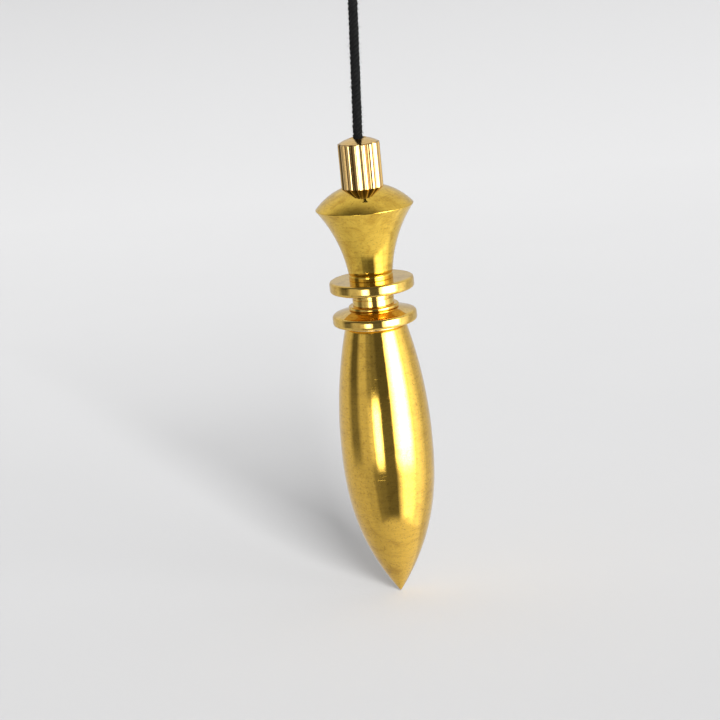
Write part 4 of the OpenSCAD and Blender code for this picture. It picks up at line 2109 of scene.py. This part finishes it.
        links.new(place.outputs["Generated"], split.inputs["Vector"])
        links.new(split.outputs["Y"], front.inputs[0])
        links.new(split.outputs["X"], bearing.inputs[0])
        links.new(front.outputs["Value"], bearing.inputs[1])
        links.new(bearing.outputs["Value"], share.inputs["Value"])
        links.new(share.outputs["Result"], eye.inputs["Fac"])
        links.new(share.outputs["Result"], sill.inputs["Fac"])
        links.new(share.outputs["Result"], edge.inputs["Fac"])
        links.new(split.outputs["Z"], above_sill.inputs["Value"])
        links.new(split.outputs["Z"], above_edge.inputs["Value"])
        links.new(split.outputs["Z"], above_table.inputs["Value"])
        links.new(split.outputs["Z"], ceiling.inputs["Value"])
        links.new(above_edge.outputs["Result"], lower_walls.inputs["Factor"])
        links.new(edge.outputs["Color"], lower_walls.inputs["A"])
        links.new(sill.outputs["Color"], lower_walls.inputs["B"])
        links.new(above_sill.outputs["Result"], all_walls.inputs["Factor"])
        links.new(lower_walls.outputs["Result"], all_walls.inputs["A"])
        links.new(eye.outputs["Color"], all_walls.inputs["B"])
        links.new(all_walls.outputs["Result"], gain.inputs[0])
        links.new(above_table.outputs["Result"], with_table.inputs["Factor"])
        links.new(split.outputs["X"], table.inputs["Value"])
        links.new(table.outputs["Result"], with_table.inputs["A"])
        links.new(gain.outputs["Value"], with_table.inputs["B"])
        links.new(split.outputs["X"], slanted.inputs[0])
        links.new(split.outputs["Y"], slanted.inputs[2])
        links.new(slanted.outputs["Value"], overhead.inputs["Value"])
        links.new(overhead.outputs["Result"], whole.inputs["B"])
        links.new(ceiling.outputs["Result"], whole.inputs["Factor"])
        links.new(with_table.outputs["Result"], whole.inputs["A"])
        links.new(whole.outputs["Result"], backdrop.inputs["Color"])
        links.new(backdrop.outputs["Background"], output.inputs["Surface"])

    def lamp(self, name: str, place: Vector, aim: Vector, size: float, watts: float) -> bpy.types.Object:
        """Adds a soft square lamp that isn't seen in the brass.

        Args:
            name: Name of the lamp.
            place: Where it stands.
            aim: What it points at.
            size: Width of its face in metres.
            watts: Its power.

        Returns:
            The lamp.
        """
        data = bpy.data.lights.new(name, "AREA")
        data.shape = "SQUARE"
        data.size = size
        data.energy = watts
        lamp = bpy.data.objects.new(name, data)
        lamp.location = place
        lamp.rotation_euler = (aim - place).to_track_quat("-Z", "Y").to_euler()
        lamp.visible_glossy = False
        bpy.context.scene.collection.objects.link(lamp)
        return lamp

    def finish(self, datum: Datum) -> None:
        """Sets up the stage.

        Args:
            datum: The bob's datum.
        """
        self.floor(datum)
        self.room()
        aim = datum.place(0.0, 40.0)
        tilt, turn = math.radians(self.lamp_elevation_deg), math.radians(self.lamp_bearing_deg)
        level = math.cos(tilt)
        away = Vector((level * math.sin(turn), -level * math.cos(turn), math.sin(tilt)))
        place = aim + away * self.lamp_distance
        self.lamp("window_lamp", place, aim, self.lamp_size, self.lamp_watts)
        view = bpy.context.scene.view_settings
        view.view_transform = "Standard"
        view.look = "None"


def fill_ramp(ramp: bpy.types.ColorRamp, stops: list[Point2]) -> None:
    """Fills a colour ramp with grey stops.

    Args:
        ramp: The ramp.
        stops: Position and brightness of each stop.
    """
    while len(ramp.elements) > 1:
        ramp.elements.remove(ramp.elements[-1])
    for i, (position, value) in enumerate(stops):
        element = ramp.elements[0] if i == 0 else ramp.elements.new(position)
        element.position = position
        element.color = (value, value, value, 1.0)


def main() -> None:
    """Builds the bob piece by piece and sets up the stage."""
    logging.basicConfig(level=logging.INFO, format="%(name)s: %(message)s")
    datum = Datum.from_frame()
    studio = Studio()
    studio.camera()
    palette = Palette.mixed()
    Line().finish(datum, palette)
    BobBody().finish(datum, palette)
    Collars().finish(datum, palette)
    Head().finish(datum, palette)
    CordCap().finish(datum, palette)
    studio.finish(datum)


if __name__ == "__main__":
    main()
